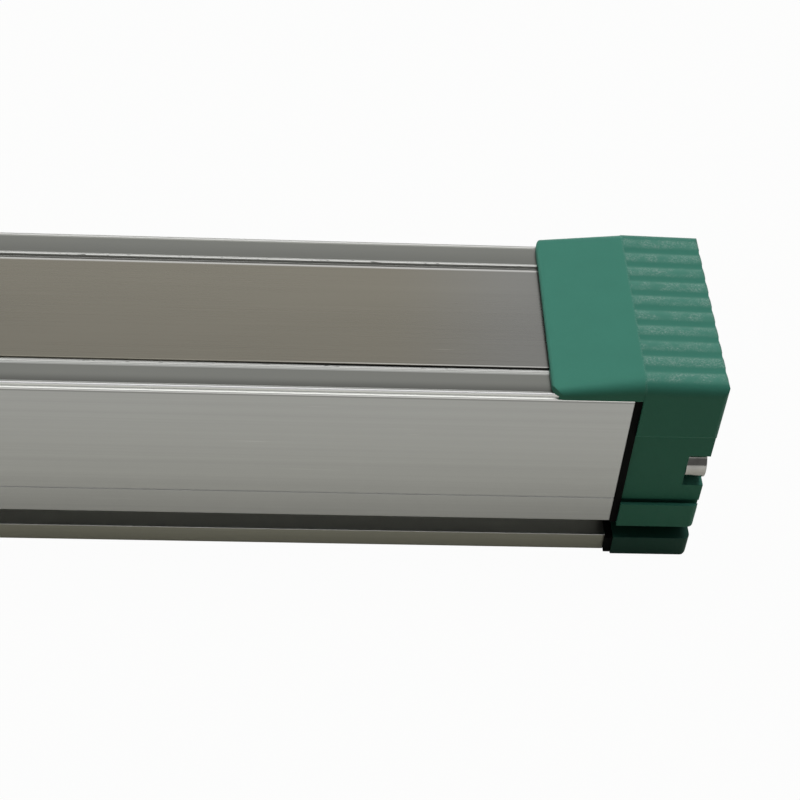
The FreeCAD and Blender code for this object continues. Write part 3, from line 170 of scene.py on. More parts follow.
class SensorSizes(bpy.types.PropertyGroup):
    """Sizes of the pieces that are made here, and of what is painted on the others."""

    band_thickness: length("Band thickness", "Cover band", 0.25 * MM)
    band_bend: length("Band bend", "Inside radius of the band's bends in the slider", 20 * MM)
    band_ramp: angle("Band ramp", "Slope of the band over the driver arm", 25)
    band_plateau: length("Band plateau", "Level stretch of the band over the driver arm", 14 * MM)
    band_edge: length("Band edge", "Rounding of the band's long edges", 0.06 * MM)
    rod_pitch: length("Rod thread pitch", "Coupling rod", 0.8 * MM)
    rod_chamfer: length("Rod chamfer", "Ends of the coupling rod", 0.5 * MM)
    connector_pitch: length("Connector thread pitch", "Connector barrel", 1.0 * MM)
    connector_bore: length("Connector bore", "Inside radius of the connector shell", 6.2 * MM)
    connector_barrel: length("Connector barrel", "Radius of the threaded barrel", 8 * MM)
    connector_neck: length("Connector neck", "Radius of the neck through the cap", 7.4 * MM)
    connector_barrel_length: length("Barrel length", "Threaded barrel of the connector", 8 * MM)
    connector_flange: length("Flange thickness", "Connector flange", 2 * MM)
    connector_lip: length("Connector lip", "Chamfers of the connector shell", 0.3 * MM)
    track_depth: length("Track depth", "How deep the tracks lie between the rails' lands", 0.15 * MM)
    step_drop: length("Step drop", "Depth of the step along each rail's outer side", 0.7 * MM)
    step_width: length("Step width", "Width of the step along each rail's outer side", 0.35 * MM)
    rail_width: length("Rail width", "Each rail, from the extrusion's side to the recess", 5.25 * MM)
    rail_land: length("Rail land", "Bevel and land on either side of a running track", 0.45 * MM)
    # Width of a painted highlight on the front track, beside its inner land.
    wide_land: length("Wide land", "Rubbed part of the front track, beside its inner land", 0.55 * MM)
    slot_low: length("Clamp slot floor", "Height of the clamp slots' lower side", 3.3 * MM)
    slot_high: length("Clamp slot roof", "Height of the clamp slots' upper side", 7.45 * MM)
    rib_pitch: length("Rib pitch", "Ribs of the end caps, crest to crest", 29 / 9 * MM)
    rib_inset: length("Rib inset", "First crest, inside the cap's front side", 2.1 * MM)
    cap_top_length: length("Ribbed length", "Ribbed part of an end cap", 12 * MM)
    cap_foot: length("Cap foot", "Height of an end cap's foot", 3.95 * MM)
    edge_softness: length("Edge softness", "Width of the light that rounded edges catch", 0.12 * MM)


class SensorStudio(bpy.types.PropertyGroup):
    """Camera and lights."""

    camera_place: bpy.props.FloatVectorProperty(
        name="Camera place",
        description="Where the camera stands",
        subtype="TRANSLATION",
        unit="LENGTH",
        size=3,
        default=(75.48 * MM, -174.28 * MM, 194.75 * MM),
    )
    camera_yaw: angle("Yaw", "How far the camera turns towards the blank end", 4.00)
    camera_pitch: angle("Pitch", "How far the camera looks down", 45.66)
    camera_roll: angle("Roll", "How far the camera leans", 4.12)
    camera_lens: bpy.props.FloatProperty(
        name="Lens", description="Focal length in millimetres", unit="CAMERA", min=1, default=72.03
    )
    overhead: power("Overhead light", "Soft light above the sensor", 6.9)
    panel: power("Back panel", "Wide soft panel behind and above the sensor", 1.3)
    strip: power("Back strip", "Low strip light behind the sensor", 1.4)
    sky: share("Sky", "Level of the studio around the sensor", 0.10)
    backdrop: share("Backdrop", "Level of the backdrop that metal mirrors behind the sensor", 0.42)
    room: share("Room", "Level of the room that metal mirrors in front of the sensor", 0.2)
    side_walls: share("Side walls", "Level of the walls that metal mirrors beyond both ends", 0.6)
    ceiling: bpy.props.FloatProperty(
        name="Ceiling", description="Level of the lit ceiling that metal mirrors", min=0, default=1.5
    )
    floor_bounce: colour("Floor bounce", "Light that the floor gives back", (0.30, 0.345, 0.22))
    floor_mirrored: colour("Floor in mirrors", "The lit floor as metal shows it", (0.92, 0.90, 0.80))
    shadow: share("Shadow", "How much of the sensor's shadow the white floor shows", 0.03)
    mirror_white: share("Mirrored white", "How white the far floor is in mirrors", 0.85)
    mirror_reach: length("Mirror reach", "Where the mirrored floor is white, from the sensor", 70 * MM)


class SoftLight(NamedTuple):
    """A rectangular lamp, in metres, and whether metal shows it."""

    name: str
    place: tuple
    target: tuple
    width: float
    depth: float
    mirrored: bool = True


OVERHEAD = SoftLight("overhead", (0.05, 0.17, 0.9), (0.05, 0, 0), width=1.0, depth=0.5, mirrored=False)
PANEL = SoftLight("panel", (0.05, 0.85, 0.85), (0.05, 0, 0.02), width=2.4, depth=1.1)
STRIP = SoftLight("strip", (0.0, 0.8, 0.12), (0.05, 0, 0.03), width=1.6, depth=0.16)


class Value:
    """One output of a shader node, which can be used in sums."""

    def __init__(self, finish, socket):
        self.finish = finish
        self.socket = socket

    def join(self, operation, first, second):
        return self.finish.node("ShaderNodeMath", {"operation": operation}, {0: first, 1: second})

    def __add__(self, other):
        return self.join("ADD", self, other)

    def __radd__(self, other):
        return self.join("ADD", other, self)

    def __sub__(self, other):
        return self.join("SUBTRACT", self, other)

    def __rsub__(self, other):
        return self.join("SUBTRACT", other, self)

    def __mul__(self, other):
        return self.join("MULTIPLY", self, other)

    def __rmul__(self, other):
        return self.join("MULTIPLY", other, self)

    def max(self, other):
        return self.join("MAXIMUM", self, other)

    def size(self):
        return self.finish.node("ShaderNodeMath", {"operation": "ABSOLUTE"}, {0: self})

    def cosine(self):
        return self.finish.node("ShaderNodeMath", {"operation": "COSINE"}, {0: self})

    def over(self, low, high):
        """Nought below one level, one above another, smooth between."""
        sockets = {"Value": self, "From Min": low, "From Max": high}
        return self.finish.node("ShaderNodeMapRange", {"interpolation_type": "SMOOTHSTEP"}, sockets)

    def within(self, rise, fall):
        """One between two places: it rises over the first pair of levels and falls over the second."""
        return self.over(*rise) * (1 - self.over(*fall))


class Finish:
    """A material, or another node tree, that is being put together."""

    def __init__(self, owner):
        owner.use_nodes = True
        self.owner = owner
        self.tree = owner.node_tree
        self.tree.nodes.clear()

    def node(self, kind, settings=None, sockets=None, output=0):
        """Adds a node: first its settings, then the values or links of its sockets."""
        made = self.tree.nodes.new(kind)
        for key, value in (settings or {}).items():
            setattr(made, key, value)
        for key, value in (sockets or {}).items():
            if isinstance(value, Value):
                self.tree.links.new(value.socket, made.inputs[key])
            else:
                made.inputs[key].default_value = value
        return Value(self, made.outputs[output]) if made.outputs else None

    def part(self, vector, axis):
        """One component of a vector."""
        return self.node("ShaderNodeSeparateXYZ", None, {"Vector": vector}, output=axis)

    def along(self, axis):
        """One coordinate of the point on the piece, in metres."""
        return self.part(self.node("ShaderNodeTexCoord", output="Object"), axis)

    def noise(self, cells, detail=3.0, roughness=0.55, shift=0.0):
        """Noise with so many cells to a millimetre along each axis, from about nought to one."""
        point = self.node("ShaderNodeTexCoord", output="Object")
        scale = tuple(count / MM for count in cells)
        spread = self.node("ShaderNodeVectorMath", {"operation": "MULTIPLY"}, {0: point, 1: scale})
        moved = self.node("ShaderNodeVectorMath", {"operation": "ADD"}, {0: spread, 1: (shift,) * 3})
        sockets = {"Vector": moved, "Scale": 1.0, "Detail": detail, "Roughness": roughness}
        return self.node("ShaderNodeTexNoise", {"normalize": True}, sockets)

    def mix(self, factor, first, second, blend="MIX"):
        """Two colours mixed by a factor."""
        settings = {"data_type": "RGBA", "blend_type": blend}
        sockets = {0: factor, 6: whole(first), 7: whole(second)}
        return self.node("ShaderNodeMix", settings, sockets, output=2)

    def spread(self, tone, tint, darker, lighter):
        """A colour that runs from a darker to a lighter shade with a noise."""
        return self.mix(tone.over(*NOISE_SPAN), shade(tint, darker), shade(tint, lighter))

    def soft_edges(self, width):
        """The surface direction with its edges rounded off."""
        return self.node("ShaderNodeBevel", {"samples": 6}, {"Radius": width})

    def edge_mask(self, rounded):
        """One along the piece's edges, nought on its faces."""
        plain = self.node("ShaderNodeNewGeometry", output="Normal")
        settings = {"operation": "DOT_PRODUCT"}
        agree = self.node("ShaderNodeVectorMath", settings, {0: rounded, 1: plain}, output="Value")
        return (1 - agree).over(0.01, 0.2)

    def bump(self, height, depth, strength, normal):
        sockets = {"Height": height, "Distance": depth, "Strength": strength, "Normal": normal}
        return self.node("ShaderNodeBump", None, sockets)

    def surface(self, **sockets):
        """The principled shader and the material's output."""
        named = {}
        for key, value in sockets.items():
            named[key.replace("_", " ").title().replace("Ior", "IOR")] = value
        shader = self.node("ShaderNodeBsdfPrincipled", None, named)
        self.node("ShaderNodeOutputMaterial", None, {"Surface": shader})
        return self.owner


def whole(tint):
    """A colour with its alpha, or a link as it is."""
    return tint if isinstance(tint, Value) else (*tint, 1.0)


def shade(tint, factor):
    return tuple(min(1.0, part * factor) for part in tint)


def new_finish(name):
    return Finish(bpy.data.materials.new(name))


def colours():
    return bpy.context.scene.sensor_colours


def sizes():
    return bpy.context.scene.sensor_sizes


def studio():
    return bpy.context.scene.sensor_studio


def drawn_metal(name, tint, roughness, line_depth, contrast, along, softness, touch):
    """Metal drawn along the sensor: fine lines, long scratches and edges lightened partly by wear and
    partly by a painted highlight, then its own touch.
    """
    finish = new_finish(name)
    rounded = finish.soft_edges(softness)
    edges = finish.edge_mask(rounded)
    lines = finish.noise(along, detail=4.0, roughness=0.7)
    streaks = finish.noise(tuple(part * 0.12 for part in along), detail=2.0, shift=11.0)
    haze = finish.noise((0.02, 0.1, 0.1), detail=3.0, shift=5.0)
    grain = finish.noise((14.0, 14.0, 14.0), detail=1.0)
    scratches = finish.noise((0.06, 5.0, 5.0), detail=2.0, shift=23.0).over(0.68, 0.76)
    rare = finish.noise((0.05, 0.3, 0.3), shift=31.0).over(0.52, 0.66)
    tone = lines * 0.5 + streaks * 0.3 + haze * 0.2
    worn = finish.spread(tone, tint, 1 - contrast, 1 + contrast)
    marked = finish.mix(scratches * rare * 0.6, worn, shade(tint, 1.6))
    edged = finish.mix(edges * 0.6, marked, shade(tint, 1.7))
    relief = lines * 0.7 + grain * 0.3
    return finish.surface(
        base_color=touch(finish, edged),
        metallic=1.0,
        roughness=(haze - 0.5) * 0.08 + (lines - 0.5) * 0.08 + roughness,
        normal=finish.bump(relief, line_depth, 0.5, rounded),
    )


class Rails:
    """Where the tracks, lands, recess and steps of the extrusion's two rails lie."""

    def __init__(self, finish):
        size = sizes()
        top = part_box("housing_extrusion")[1]
        self.height = finish.along("Z")
        self.across = finish.along("Y")
        self.aside = self.across.size()
        self.back = self.across.over(-HAIR, HAIR)
        self.side = top.y
        self.recess = top.y - size.rail_width
        self.shoulder = top.y - size.step_width
        self.track = (self.recess + size.rail_land, self.shoulder - size.rail_land)
        self.lowered = top.z - size.track_depth
        self.step = top.z - size.step_drop


def paint_tracks(finish, rails, under):
    """Grey running tracks with painted shade: each darker towards its front side, the back track lighter.
    """
    inner, outer = rails.track
    tint = colours().track_grey
    front_shade = 1 - rails.across.over(-outer, -(inner + outer) / 2)
    back_shade = rails.across.within((0, rails.recess), rails.track)
    grey = finish.mix(rails.back, tint, shade(tint, 1.19))
    shaded = finish.mix(front_shade * 0.42 + back_shade * 0.2, grey, BLACK)
    top = rails.height.over(rails.lowered - 1.2 * HAIR, rails.lowered - 0.3 * HAIR)
    return finish.mix(top, under, shaded)


def paint_lands(finish, rails, under):
    """Lands beside the tracks in painted highlight, dimmed by painted shade on the front side, with a wide
    painted highlight inside the front track.
    """
    inner, outer = rails.track
    tint = colours().painted_light_grey
    outermost = 1 - rails.across.over(-outer - HAIR, -outer)
    # Painted shade: the front lands are dimmed, the outermost one most.
    land = finish.mix((1 - rails.back) * 0.1 + outermost * 0.3, tint, BLACK)
    raised = rails.height.over(rails.lowered + 0.5 * HAIR, rails.lowered + HAIR)
    wide_highlight_from = -inner - sizes().wide_land
    wide_highlight = rails.across.within((wide_highlight_from, wide_highlight_from + HAIR), (-rails.recess - HAIR, -rails.recess))
    wide_highlight = wide_highlight * rails.height.over(rails.lowered - HAIR, rails.lowered)
    return finish.mix(wide_highlight * 0.7, finish.mix(raised, under, land), shade(tint, 0.9))


def paint_slots(finish, rails, under):
    """Painted light: paler walls in the clamp slots."""
    floor = (sizes().slot_low - HAIR, sizes().slot_low)
    roof = (sizes().slot_high, sizes().slot_high + HAIR)
    deep = 1 - rails.aside.over(rails.side - 6 * HAIR, rails.side - 5 * HAIR)
    return finish.mix(deep * rails.height.within(floor, roof) * 0.4, under, colours().painted_light_grey)


def gap_shade_strength(finish):
    """Strength of the painted shade in the gap in front of the cover band: weak in the middle, where the
    gap is tight, and full by the visors, where it is open.
    """
    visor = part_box("right_end_cap")[0].x
    return finish.along("X").size().over(visor - 60 * MM, visor - 25 * MM) * 0.75 + 0.25


def paint_recess(finish, rails, under):
    """Recess walls in painted light, the back one in painted shade, the shaded gap in front of the cover
    band and grime along the rim.
    """
    recess = rails.recess
    band_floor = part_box("cover_band")[0].z
    inside = 1 - rails.aside.over(recess, recess + 0.2 * HAIR)
    walls = finish.mix(rails.back, colours().painted_light_grey, colours().slit_wall_shade)
    lined = finish.mix(inside * 0.85, under, walls)
    below = 1 - rails.height.over(band_floor + 0.3 * HAIR, band_floor + 0.8 * HAIR)
    gap = inside * below * (1 - rails.back) * gap_shade_strength(finish)
    gaps = finish.mix(gap, lined, colours().shaded_gap)
    rim = rails.aside.within((recess - HAIR, recess), (recess + 3 * HAIR, recess + 4 * HAIR))
    raised = rails.height.over(rails.lowered, rails.lowered + HAIR)
    specks = finish.noise((0.8, 4.0, 4.0), detail=1.0, shift=57.0).over(0.66, 0.7)
    return finish.mix(specks * rim * raised * 0.8, gaps, colours().grime)


def paint_step(finish, rails, under):
    """Painted highlights on the outer wall, bevel and ledge of each rail, and painted shade in the crease
    under the ledge.
    """
    height = rails.height
    step = rails.step
    tint = colours().painted_light_grey
    bevel = rails.aside.over(rails.shoulder - 1.6 * HAIR, rails.shoulder - 1.4 * HAIR)
    wall = finish.mix(height.over(rails.lowered - 0.5 * HAIR, rails.lowered), tint, WHITE)
    walled = finish.mix(bevel * height.over(step + 0.5 * HAIR, step + HAIR), under, wall)
    crease = height.within((step - 7 * HAIR, step - 5 * HAIR), (step - 3.5 * HAIR, step - 3 * HAIR))
    outside = rails.aside.over(rails.side - HAIR, rails.side - 0.5 * HAIR)
    crease_shaded = finish.mix(crease * outside * 0.3, walled, BLACK)
    ledge = height.within((step - 2.8 * HAIR, step - 2 * HAIR), (step + 0.2 * HAIR, step + 0.5 * HAIR))
    return finish.mix(ledge, crease_shaded, shade(tint, 1.4))


def paint_foot(finish, rails, under):
    """Painted shade: a warmer and dimmer foot below the clamp slots."""
    foot = 1 - rails.height.over(sizes().slot_low - HAIR, sizes().slot_low)
    return finish.mix(foot, under, colours().foot_painted_shade, "MULTIPLY")


def rail_touch(finish, under):
    """What is painted on the extrusion, one layer over the other."""
    rails = Rails(finish)
    for paint in (paint_tracks, paint_lands, paint_slots, paint_recess, paint_step, paint_foot):
        under = paint(finish, rails, under)
    return under


def band_touch(finish, under):
    """The cover band's tone with painted shade towards its front and painted light towards its back, greyer
    by the blank end's visor, with painted highlights on its long edges and painted shade on its front edge.
    """
    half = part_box("cover_band")[1].y
    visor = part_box("right_end_cap")[0].x
    front_shade_tone = (0.86, 0.86, 0.86)
    back_light_tone = (1.1, 1.1, 1.1)
    visor_tone = (1.03, 1.09, 1.25)
    across = finish.along("Y")
    onward = finish.along("X")
    fall = finish.mix(across.over(-1.3 * half, 1.3 * half), front_shade_tone, back_light_tone)
    toned = finish.mix(1.0, under, fall, "MULTIPLY")
    greyer = finish.mix(onward.over(visor - 26 * MM, visor), WHITE, visor_tone)
    cooled = finish.mix(1.0, toned, greyer, "MULTIPLY")
    back = across.over(half - 6 * HAIR, half - 2.5 * HAIR)
    glint = across.within((0.8 * HAIR - half, 1.2 * HAIR - half), (2 * HAIR - half, 3 * HAIR - half))
    glint = glint * onward.over(visor - 50 * MM, visor - 20 * MM)
    edged = finish.mix((back * 0.9).max(glint * 0.6), cooled, colours().bright_edge)
    front = 1 - across.over(0.2 * HAIR - half, 0.6 * HAIR - half)
    return finish.mix(front * gap_shade_strength(finish) * 0.9, edged, colours().dark_edge)


def green_moulding():
    """Moulded plastic: tooling grain, painted shade in the hollows between the ribs, edges lightened partly
    by wear and partly by a painted highlight, pale dusty crests on the ribs with a painted sheen, and a dim
    foot in painted shade.
    """
    size = sizes()
    tint = colours().moulding
    low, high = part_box("right_end_cap")
    ribs_from = high.x - size.cap_top_length
    finish = new_finish("green_moulding")
    rounded = finish.soft_edges(size.edge_softness * 1.6)
    edges = finish.edge_mask(rounded)
    endward = finish.along("X").size()
    height = finish.along("Z")
    grain = finish.noise((9.0, 9.0, 9.0), detail=2.0)
    cloud = finish.noise((0.25, 0.25, 0.25), detail=3.0, shift=3.0)
    patches = finish.noise((1.6, 1.6, 1.6), detail=3.0, shift=17.0)
    mottled = finish.spread(cloud * 0.5 + patches * 0.3 + grain * 0.2, tint, 0.97, 1.03)
    ribbed = endward.over(ribs_from, ribs_from + 0.3 * MM)
    turns = (finish.along("Y") - low.y - size.rib_inset) * (math.tau / size.rib_pitch)
    crests = (turns.cosine() * 0.5 + 0.5).over(0.1, 0.75) * ribbed
    top = height.over(high.z - 3 * MM, high.z - MM)
    valleys_shaded = finish.mix((ribbed - crests) * top * 0.6, mottled, shade(tint, 0.8))
    edged = finish.mix(edges * 0.4, valleys_shaded, shade(tint, 1.6))
    fleck = finish.noise((3.4, 4.2, 4.2), detail=3.0, roughness=0.7, shift=41.0).over(0.38, 0.74)
    area = finish.noise((0.5, 0.5, 0.5), detail=2.0, shift=47.0).over(0.3, 0.62)
    ridge = endward.over(ribs_from - 0.3 * MM, ribs_from) * (1 - ribbed)
    dust_and_sheen = crests * (fleck * area * 0.27 + 0.03) + ridge * fleck * 0.14
    worn = finish.mix(dust_and_sheen * top, edged, colours().rib_dust_and_sheen)
    # Painted shade: the foot of each cap is much darker.
    foot = 1 - height.over(size.cap_foot, size.cap_foot + 2 * MM)
    return finish.surface(
        base_color=finish.mix(foot * 0.8, worn, shade(tint, 0.2)),
        roughness=(patches - 0.5) * 0.1 + 0.5 - edges * 0.06,
        specular_ior_level=0.15,
        normal=finish.bump(grain * 0.7 + patches * 0.3, 0.02 * MM, 0.5, rounded),
    )


def turned_steel(name, tint, roughness, patina):
    """Plated steel: faint cloudy plating, fine pits and edges lightened partly by rubbing and partly by a
    painted highlight.
    """
    finish = new_finish(name)
    rounded = finish.soft_edges(sizes().edge_softness)
    edges = finish.edge_mask(rounded)
    cloud = finish.noise((0.6, 0.6, 0.6), detail=4.0)
    grain = finish.noise((16.0, 16.0, 16.0), detail=2.0, shift=9.0)
    plated = finish.spread(cloud * 0.7 + grain * 0.3, tint, 1 - patina, 1 + patina * 0.5)
    return finish.surface(
        base_color=finish.mix(edges * 0.5, plated, shade(tint, 1.4)),
        metallic=1.0,
        roughness=(cloud - 0.5) * 0.2 + roughness,
        normal=finish.bump(grain, 0.012 * MM, 0.4, rounded),
    )


def satin_solid(name, tint, roughness, grain_per_mm, grain_depth, metallic=0.0, specular=0.5):
    """Rubber, anodising, laminate and plain mouldings: an even colour with a fine grain, and edges
    lightened partly by wear and partly by a painted highlight.
    """
    finish = new_finish(name)
    rounded = finish.soft_edges(sizes().edge_softness)
    edges = finish.edge_mask(rounded)
    grain = finish.noise((grain_per_mm,) * 3, detail=2.0)
    cloud = finish.noise((0.25, 0.25, 0.25), detail=3.0, shift=7.0)
    mottled = finish.spread(grain * 0.5 + cloud * 0.5, tint, 0.8, 1.25)
    return finish.surface(
        base_color=finish.mix(edges * 0.5, mottled, shade(tint, 1.9)),
        metallic=metallic,
        specular_ior_level=specular,
        roughness=(cloud - 0.5) * 0.2 + roughness,
        normal=finish.bump(grain, grain_depth, 0.5, rounded),
    )


def give(material, *nodes):
    """Puts a finish on CAD nodes."""
    for node in nodes:
        piece = frame["nodes"][node]
        piece.data.materials.clear()
        piece.data.materials.append(material)


def mesh_piece(name, mesh, material, replaced, body=None):
    """Makes an object of a finished mesh that stands for a CAD node."""
    data = bpy.data.meshes.new(name)
    mesh.normal_update()
    mesh.to_mesh(data)
    mesh.free()
    data.materials.append(material)
    piece = bpy.data.objects.new(name, data)
    bpy.context.scene.collection.objects.link(piece)
    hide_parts(replaced)
    if body:
        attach(piece, body)
    return piece


def skin(mesh, rings, closed_ends=True):
    """Joins a row of rings, each with the same number of points, into a closed skin."""
    rows = [[mesh.verts.new(point) for point in ring] for ring in rings]
    for here, there in zip(rows, rows[1:]):
        for index in range(len(here)):
            follow = (index + 1) % len(here)
            mesh.faces.new((here[index], here[follow], there[follow], there[index]))
    if closed_ends:
        mesh.faces.new(list(reversed(rows[0])))
        mesh.faces.new(rows[-1])
    bmesh.ops.recalc_face_normals(mesh, faces=mesh.faces)


def smooth(piece, limit=40):
    """Smooth shading that keeps edges sharper than a limit in degrees."""
    for face in piece.data.polygons:
        face.use_smooth = True
    piece.data.set_sharp_from_angle(angle=math.radians(limit))


class SENSOR_OT_extrusion(bpy.types.Operator):
    """Anodised finish of the housing extrusion, and the magnet strips in its recess"""

    bl_idname = "sensor.extrusion"
    bl_label = "Extrusion"

    def execute(self, context):
        silver = drawn_metal(
            "silver_anodised",
            colours().anodised,
            roughness=0.3,
            line_depth=0.010 * MM,
            contrast=0.06,
            along=(0.008, 9.0, 9.0),
            softness=sizes().edge_softness * 1.6,
            touch=rail_touch,
        )
        give(silver, "housing_extrusion")
        magnet = satin_solid("magnet_rubber", colours().magnet, 0.7, 8.0, 0.02 * MM)
        give(magnet, "front_magnet_strip", "back_magnet_strip")
        return {"FINISHED"}


class SENSOR_OT_cover_band(bpy.types.Operator):
    """Cover band in three lengths, so that the hump over the driver arm travels with the slider"""

    bl_idname = "sensor.cover_band"
    bl_label = "Cover band"

    bend_steps = 16
    flat_steps = 24

    def section(self, x, z, slope):
        """The band's cross-section at a point of its path, with rounded long edges."""
        low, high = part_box("cover_band")
        edge = sizes().band_edge
        top = sizes().band_thickness
        up = Vector((-math.sin(slope), 0, math.cos(slope)))
        base = Vector((x, 0, z))
        front = [(low.y + edge, 0), (low.y, edge), (low.y, top - edge), (low.y + edge, top)]
        back = [(high.y - edge, top), (high.y, top - edge), (high.y, edge), (high.y - edge, 0)]
        return [base + Vector((0, y, 0)) + up * lift for y, lift in front + back]

    def hump_path(self):
        """Half of the hump, from its plateau to the level band: place, height and slope."""
        inner = sizes().band_bend
        outer = inner + sizes().band_thickness
        ramp = sizes().band_ramp
        rise = (inner + outer) * (1 - math.cos(ramp))
        half = sizes().band_plateau / 2
        reach = half + (inner + outer) * math.sin(ramp)
        turns = [ramp * step / self.bend_steps for step in range(self.bend_steps + 1)]
        path = []
        for turn in turns:
            path.append((half + inner * math.sin(turn), rise - inner * (1 - math.cos(turn)), -turn))
        for turn in reversed(turns[:-1]):
            path.append((reach - outer * math.sin(turn), outer * (1 - math.cos(turn)), -turn))
        return path

    def flat(self, name, start, end, steel):
        """A level length of the band."""
        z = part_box("cover_band")[0].z
        stations = [start + (end - start) * step / self.flat_steps for step in range(self.flat_steps + 1)]
        strip = bmesh.new()
        skin(strip, [self.section(x, z, 0) for x in stations])
        return mesh_piece(name, strip, steel, "cover_band")

    def execute(self, context):
        low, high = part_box("cover_band")
        centre = middle("slider_block").x
        path = self.hump_path()
        reach = path[-1][0]
        steel = drawn_metal(
            "stainless_band",
            colours().stainless,
            roughness=0.28,
            line_depth=0.0015 * MM,
            contrast=0.02,
            along=(0.02, 9.0, 9.0),
            softness=sizes().edge_softness,
            touch=band_touch,
        )
        outline = [(-x, z, -slope) for x, z, slope in reversed(path)] + path
        mesh = bmesh.new()
        skin(mesh, [self.section(centre + x, low.z + z, slope) for x, z, slope in outline])
        hump = mesh_piece("band_hump", mesh, steel, "cover_band", "slider")
        left = self.flat("band_left", low.x, centre - reach, steel)
        right = self.flat("band_right", centre + reach, high.x, steel)
        centre - reach
        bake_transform(left)
        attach(right, "housing")
        travel = TRAVEL["range_m"][1]
        keep = 1 - travel / (high.x - centre - reach)
        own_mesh(right)
        for piece in (hump, left, right):
            smooth(piece)
        give(steel, "left_band_clamp", "right_band_clamp")
        return {"FINISHED"}


class SENSOR_OT_end_caps(bpy.types.Operator):
    """Moulded finish of both end caps, with their gaskets"""

    bl_idname = "sensor.end_caps"
    bl_label = "End caps"

    def execute(self, context):
        give(green_moulding(), "left_end_cap", "right_end_cap")
        rubber = satin_solid("black_rubber", colours().rubber, 0.8, 6.0, 0.03 * MM, specular=0.06)
        give(rubber, "left_gasket", "right_gasket", "connector_seal")
        return {"FINISHED"}


class SENSOR_OT_screws(bpy.types.Operator):
    """Zinc finish of every screw; on the caps glossier and a little darker, as painted shade of the notches
    they sit in.
    """

    bl_idname = "sensor.screws"
    bl_label = "Screws"

    def execute(self, context):
        steel = turned_steel("screw_steel", shade(colours().zinc, 0.76), 0.2, 0.2)
        give(steel, "left_clamp_screws", "right_clamp_screws", "driver_screws", "carriage_screws")
        bright = turned_steel("glossy_shaded_screw_steel", shade(colours().zinc, 0.7), 0.1, 0.2)
        give(bright, "left_cap_screws", "right_cap_screws")
        return {"FINISHED"}


def thread_radius(crest, depth, turns):
    """Radius of a symmetric thread after so many turns along it."""
    fall = (abs(2 * (turns % 1.0) - 1) - THREAD_FLAT) / (1 - 2 * THREAD_FLAT)
    return crest - depth * min(1.0, max(0.0, fall))


def round_ring(x, centre, radii):
    """A ring across X whose points lie evenly around a centre, each at its own radius."""
    ring = []
    for index, radius in enumerate(radii):
        around = math.tau * index / len(radii)
        ring.append(Vector((x, centre.y + radius * math.cos(around), centre.z + radius * math.sin(around))))
    return ring


def threaded_rings(start, end, centre, crest, pitch, count, chamfer):
    """Rings of a threaded bar along X with both its ends chamfered."""
    depth = THREAD_DEPTH * pitch
    steps = max(2, round(abs(end - start) / pitch * RINGS_PER_PITCH))
    rings = []
    for step in range(steps + 1):
        x = start + (end - start) * step / steps
        limit = crest - max(0.0, chamfer - min(abs(x - start), abs(end - x)))
        turns = [(x - start) / pitch + index / count for index in range(count)]
        radii = [min(limit, thread_radius(crest, depth, turn)) for turn in turns]
        rings.append(round_ring(x, centre, radii))
    return rings


class SENSOR_OT_connector(bpy.types.Operator):
    """Threaded connector shell, and the finishes of the pieces inside it"""

    bl_idname = "sensor.connector"
    bl_label = "Connector"

    points_around = 96

    def shell_rings(self):
        """Rings along the outside of the shell from its mouth, and back through its bore."""
        size = sizes()
        low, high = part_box("connector_shell")
        centre = middle("connector_shell")
        lip = size.connector_lip
        barrel = size.connector_barrel
        flange = (high.y - low.y) / 2
        thread_end = low.x + size.connector_barrel_length
        flange_end = thread_end + size.connector_flange
        count = self.points_around
        pitch = size.connector_pitch
        thread = threaded_rings(low.x, thread_end - lip, centre, barrel, pitch, count, 2 * lip)
        outline = [
            (thread_end - lip, barrel - 2 * lip),
            (thread_end, barrel - 2 * lip),
            (thread_end, flange - lip),
            (thread_end + lip, flange),
            (flange_end - lip, flange),
            (flange_end, flange - lip),
            (flange_end, size.connector_neck),
            (high.x, size.connector_neck),
            (high.x, size.connector_bore),
            (low.x + lip, size.connector_bore),
            (low.x, size.connector_bore + lip),
        ]
        plain = [round_ring(x, centre, [radius] * count) for x, radius in outline]
        return thread + plain + thread[:1]

    def execute(self, context):
        mesh = bmesh.new()
        skin(mesh, self.shell_rings(), closed_ends=False)
        bmesh.ops.remove_doubles(mesh, verts=mesh.verts, dist=0.001 * MM)
        bmesh.ops.recalc_face_normals(mesh, faces=mesh.faces)
        nickel = turned_steel("nickel_plate", colours().nickel, 0.24, 0.15)
        smooth(mesh_piece("threaded_shell", mesh, nickel, "connector_shell", "housing"))
        give(nickel, "connector_nut")
        give(satin_solid("insulator", colours().insulator, 0.45, 10.0, 0.012 * MM), "connector_insert")
        give(turned_steel("gold_plate", colours().gold, 0.2, 0.12), "connector_pins", "board_terminals")
        return {"FINISHED"}


class SENSOR_OT_slider(bpy.types.Operator):
    """Finishes of the slider block, its runners and the driver arm"""

    bl_idname = "sensor.slider"
    bl_label = "Slider"

    def execute(self, context):
        black = satin_solid("black_anodising", colours().slider, 0.42, 11.0, 0.016 * MM, metallic=0.6)
        give(black, "slider_block")
        acetal = satin_solid("white_acetal", colours().acetal, 0.45, 5.0, 0.01 * MM)
        give(acetal, "glide_pads", "band_shoes", "inner_shoe", "wiper_carriage")
        give(turned_steel("driver_steel", colours().zinc, 0.35, 0.3), "driver_arm")
        return {"FINISHED"}


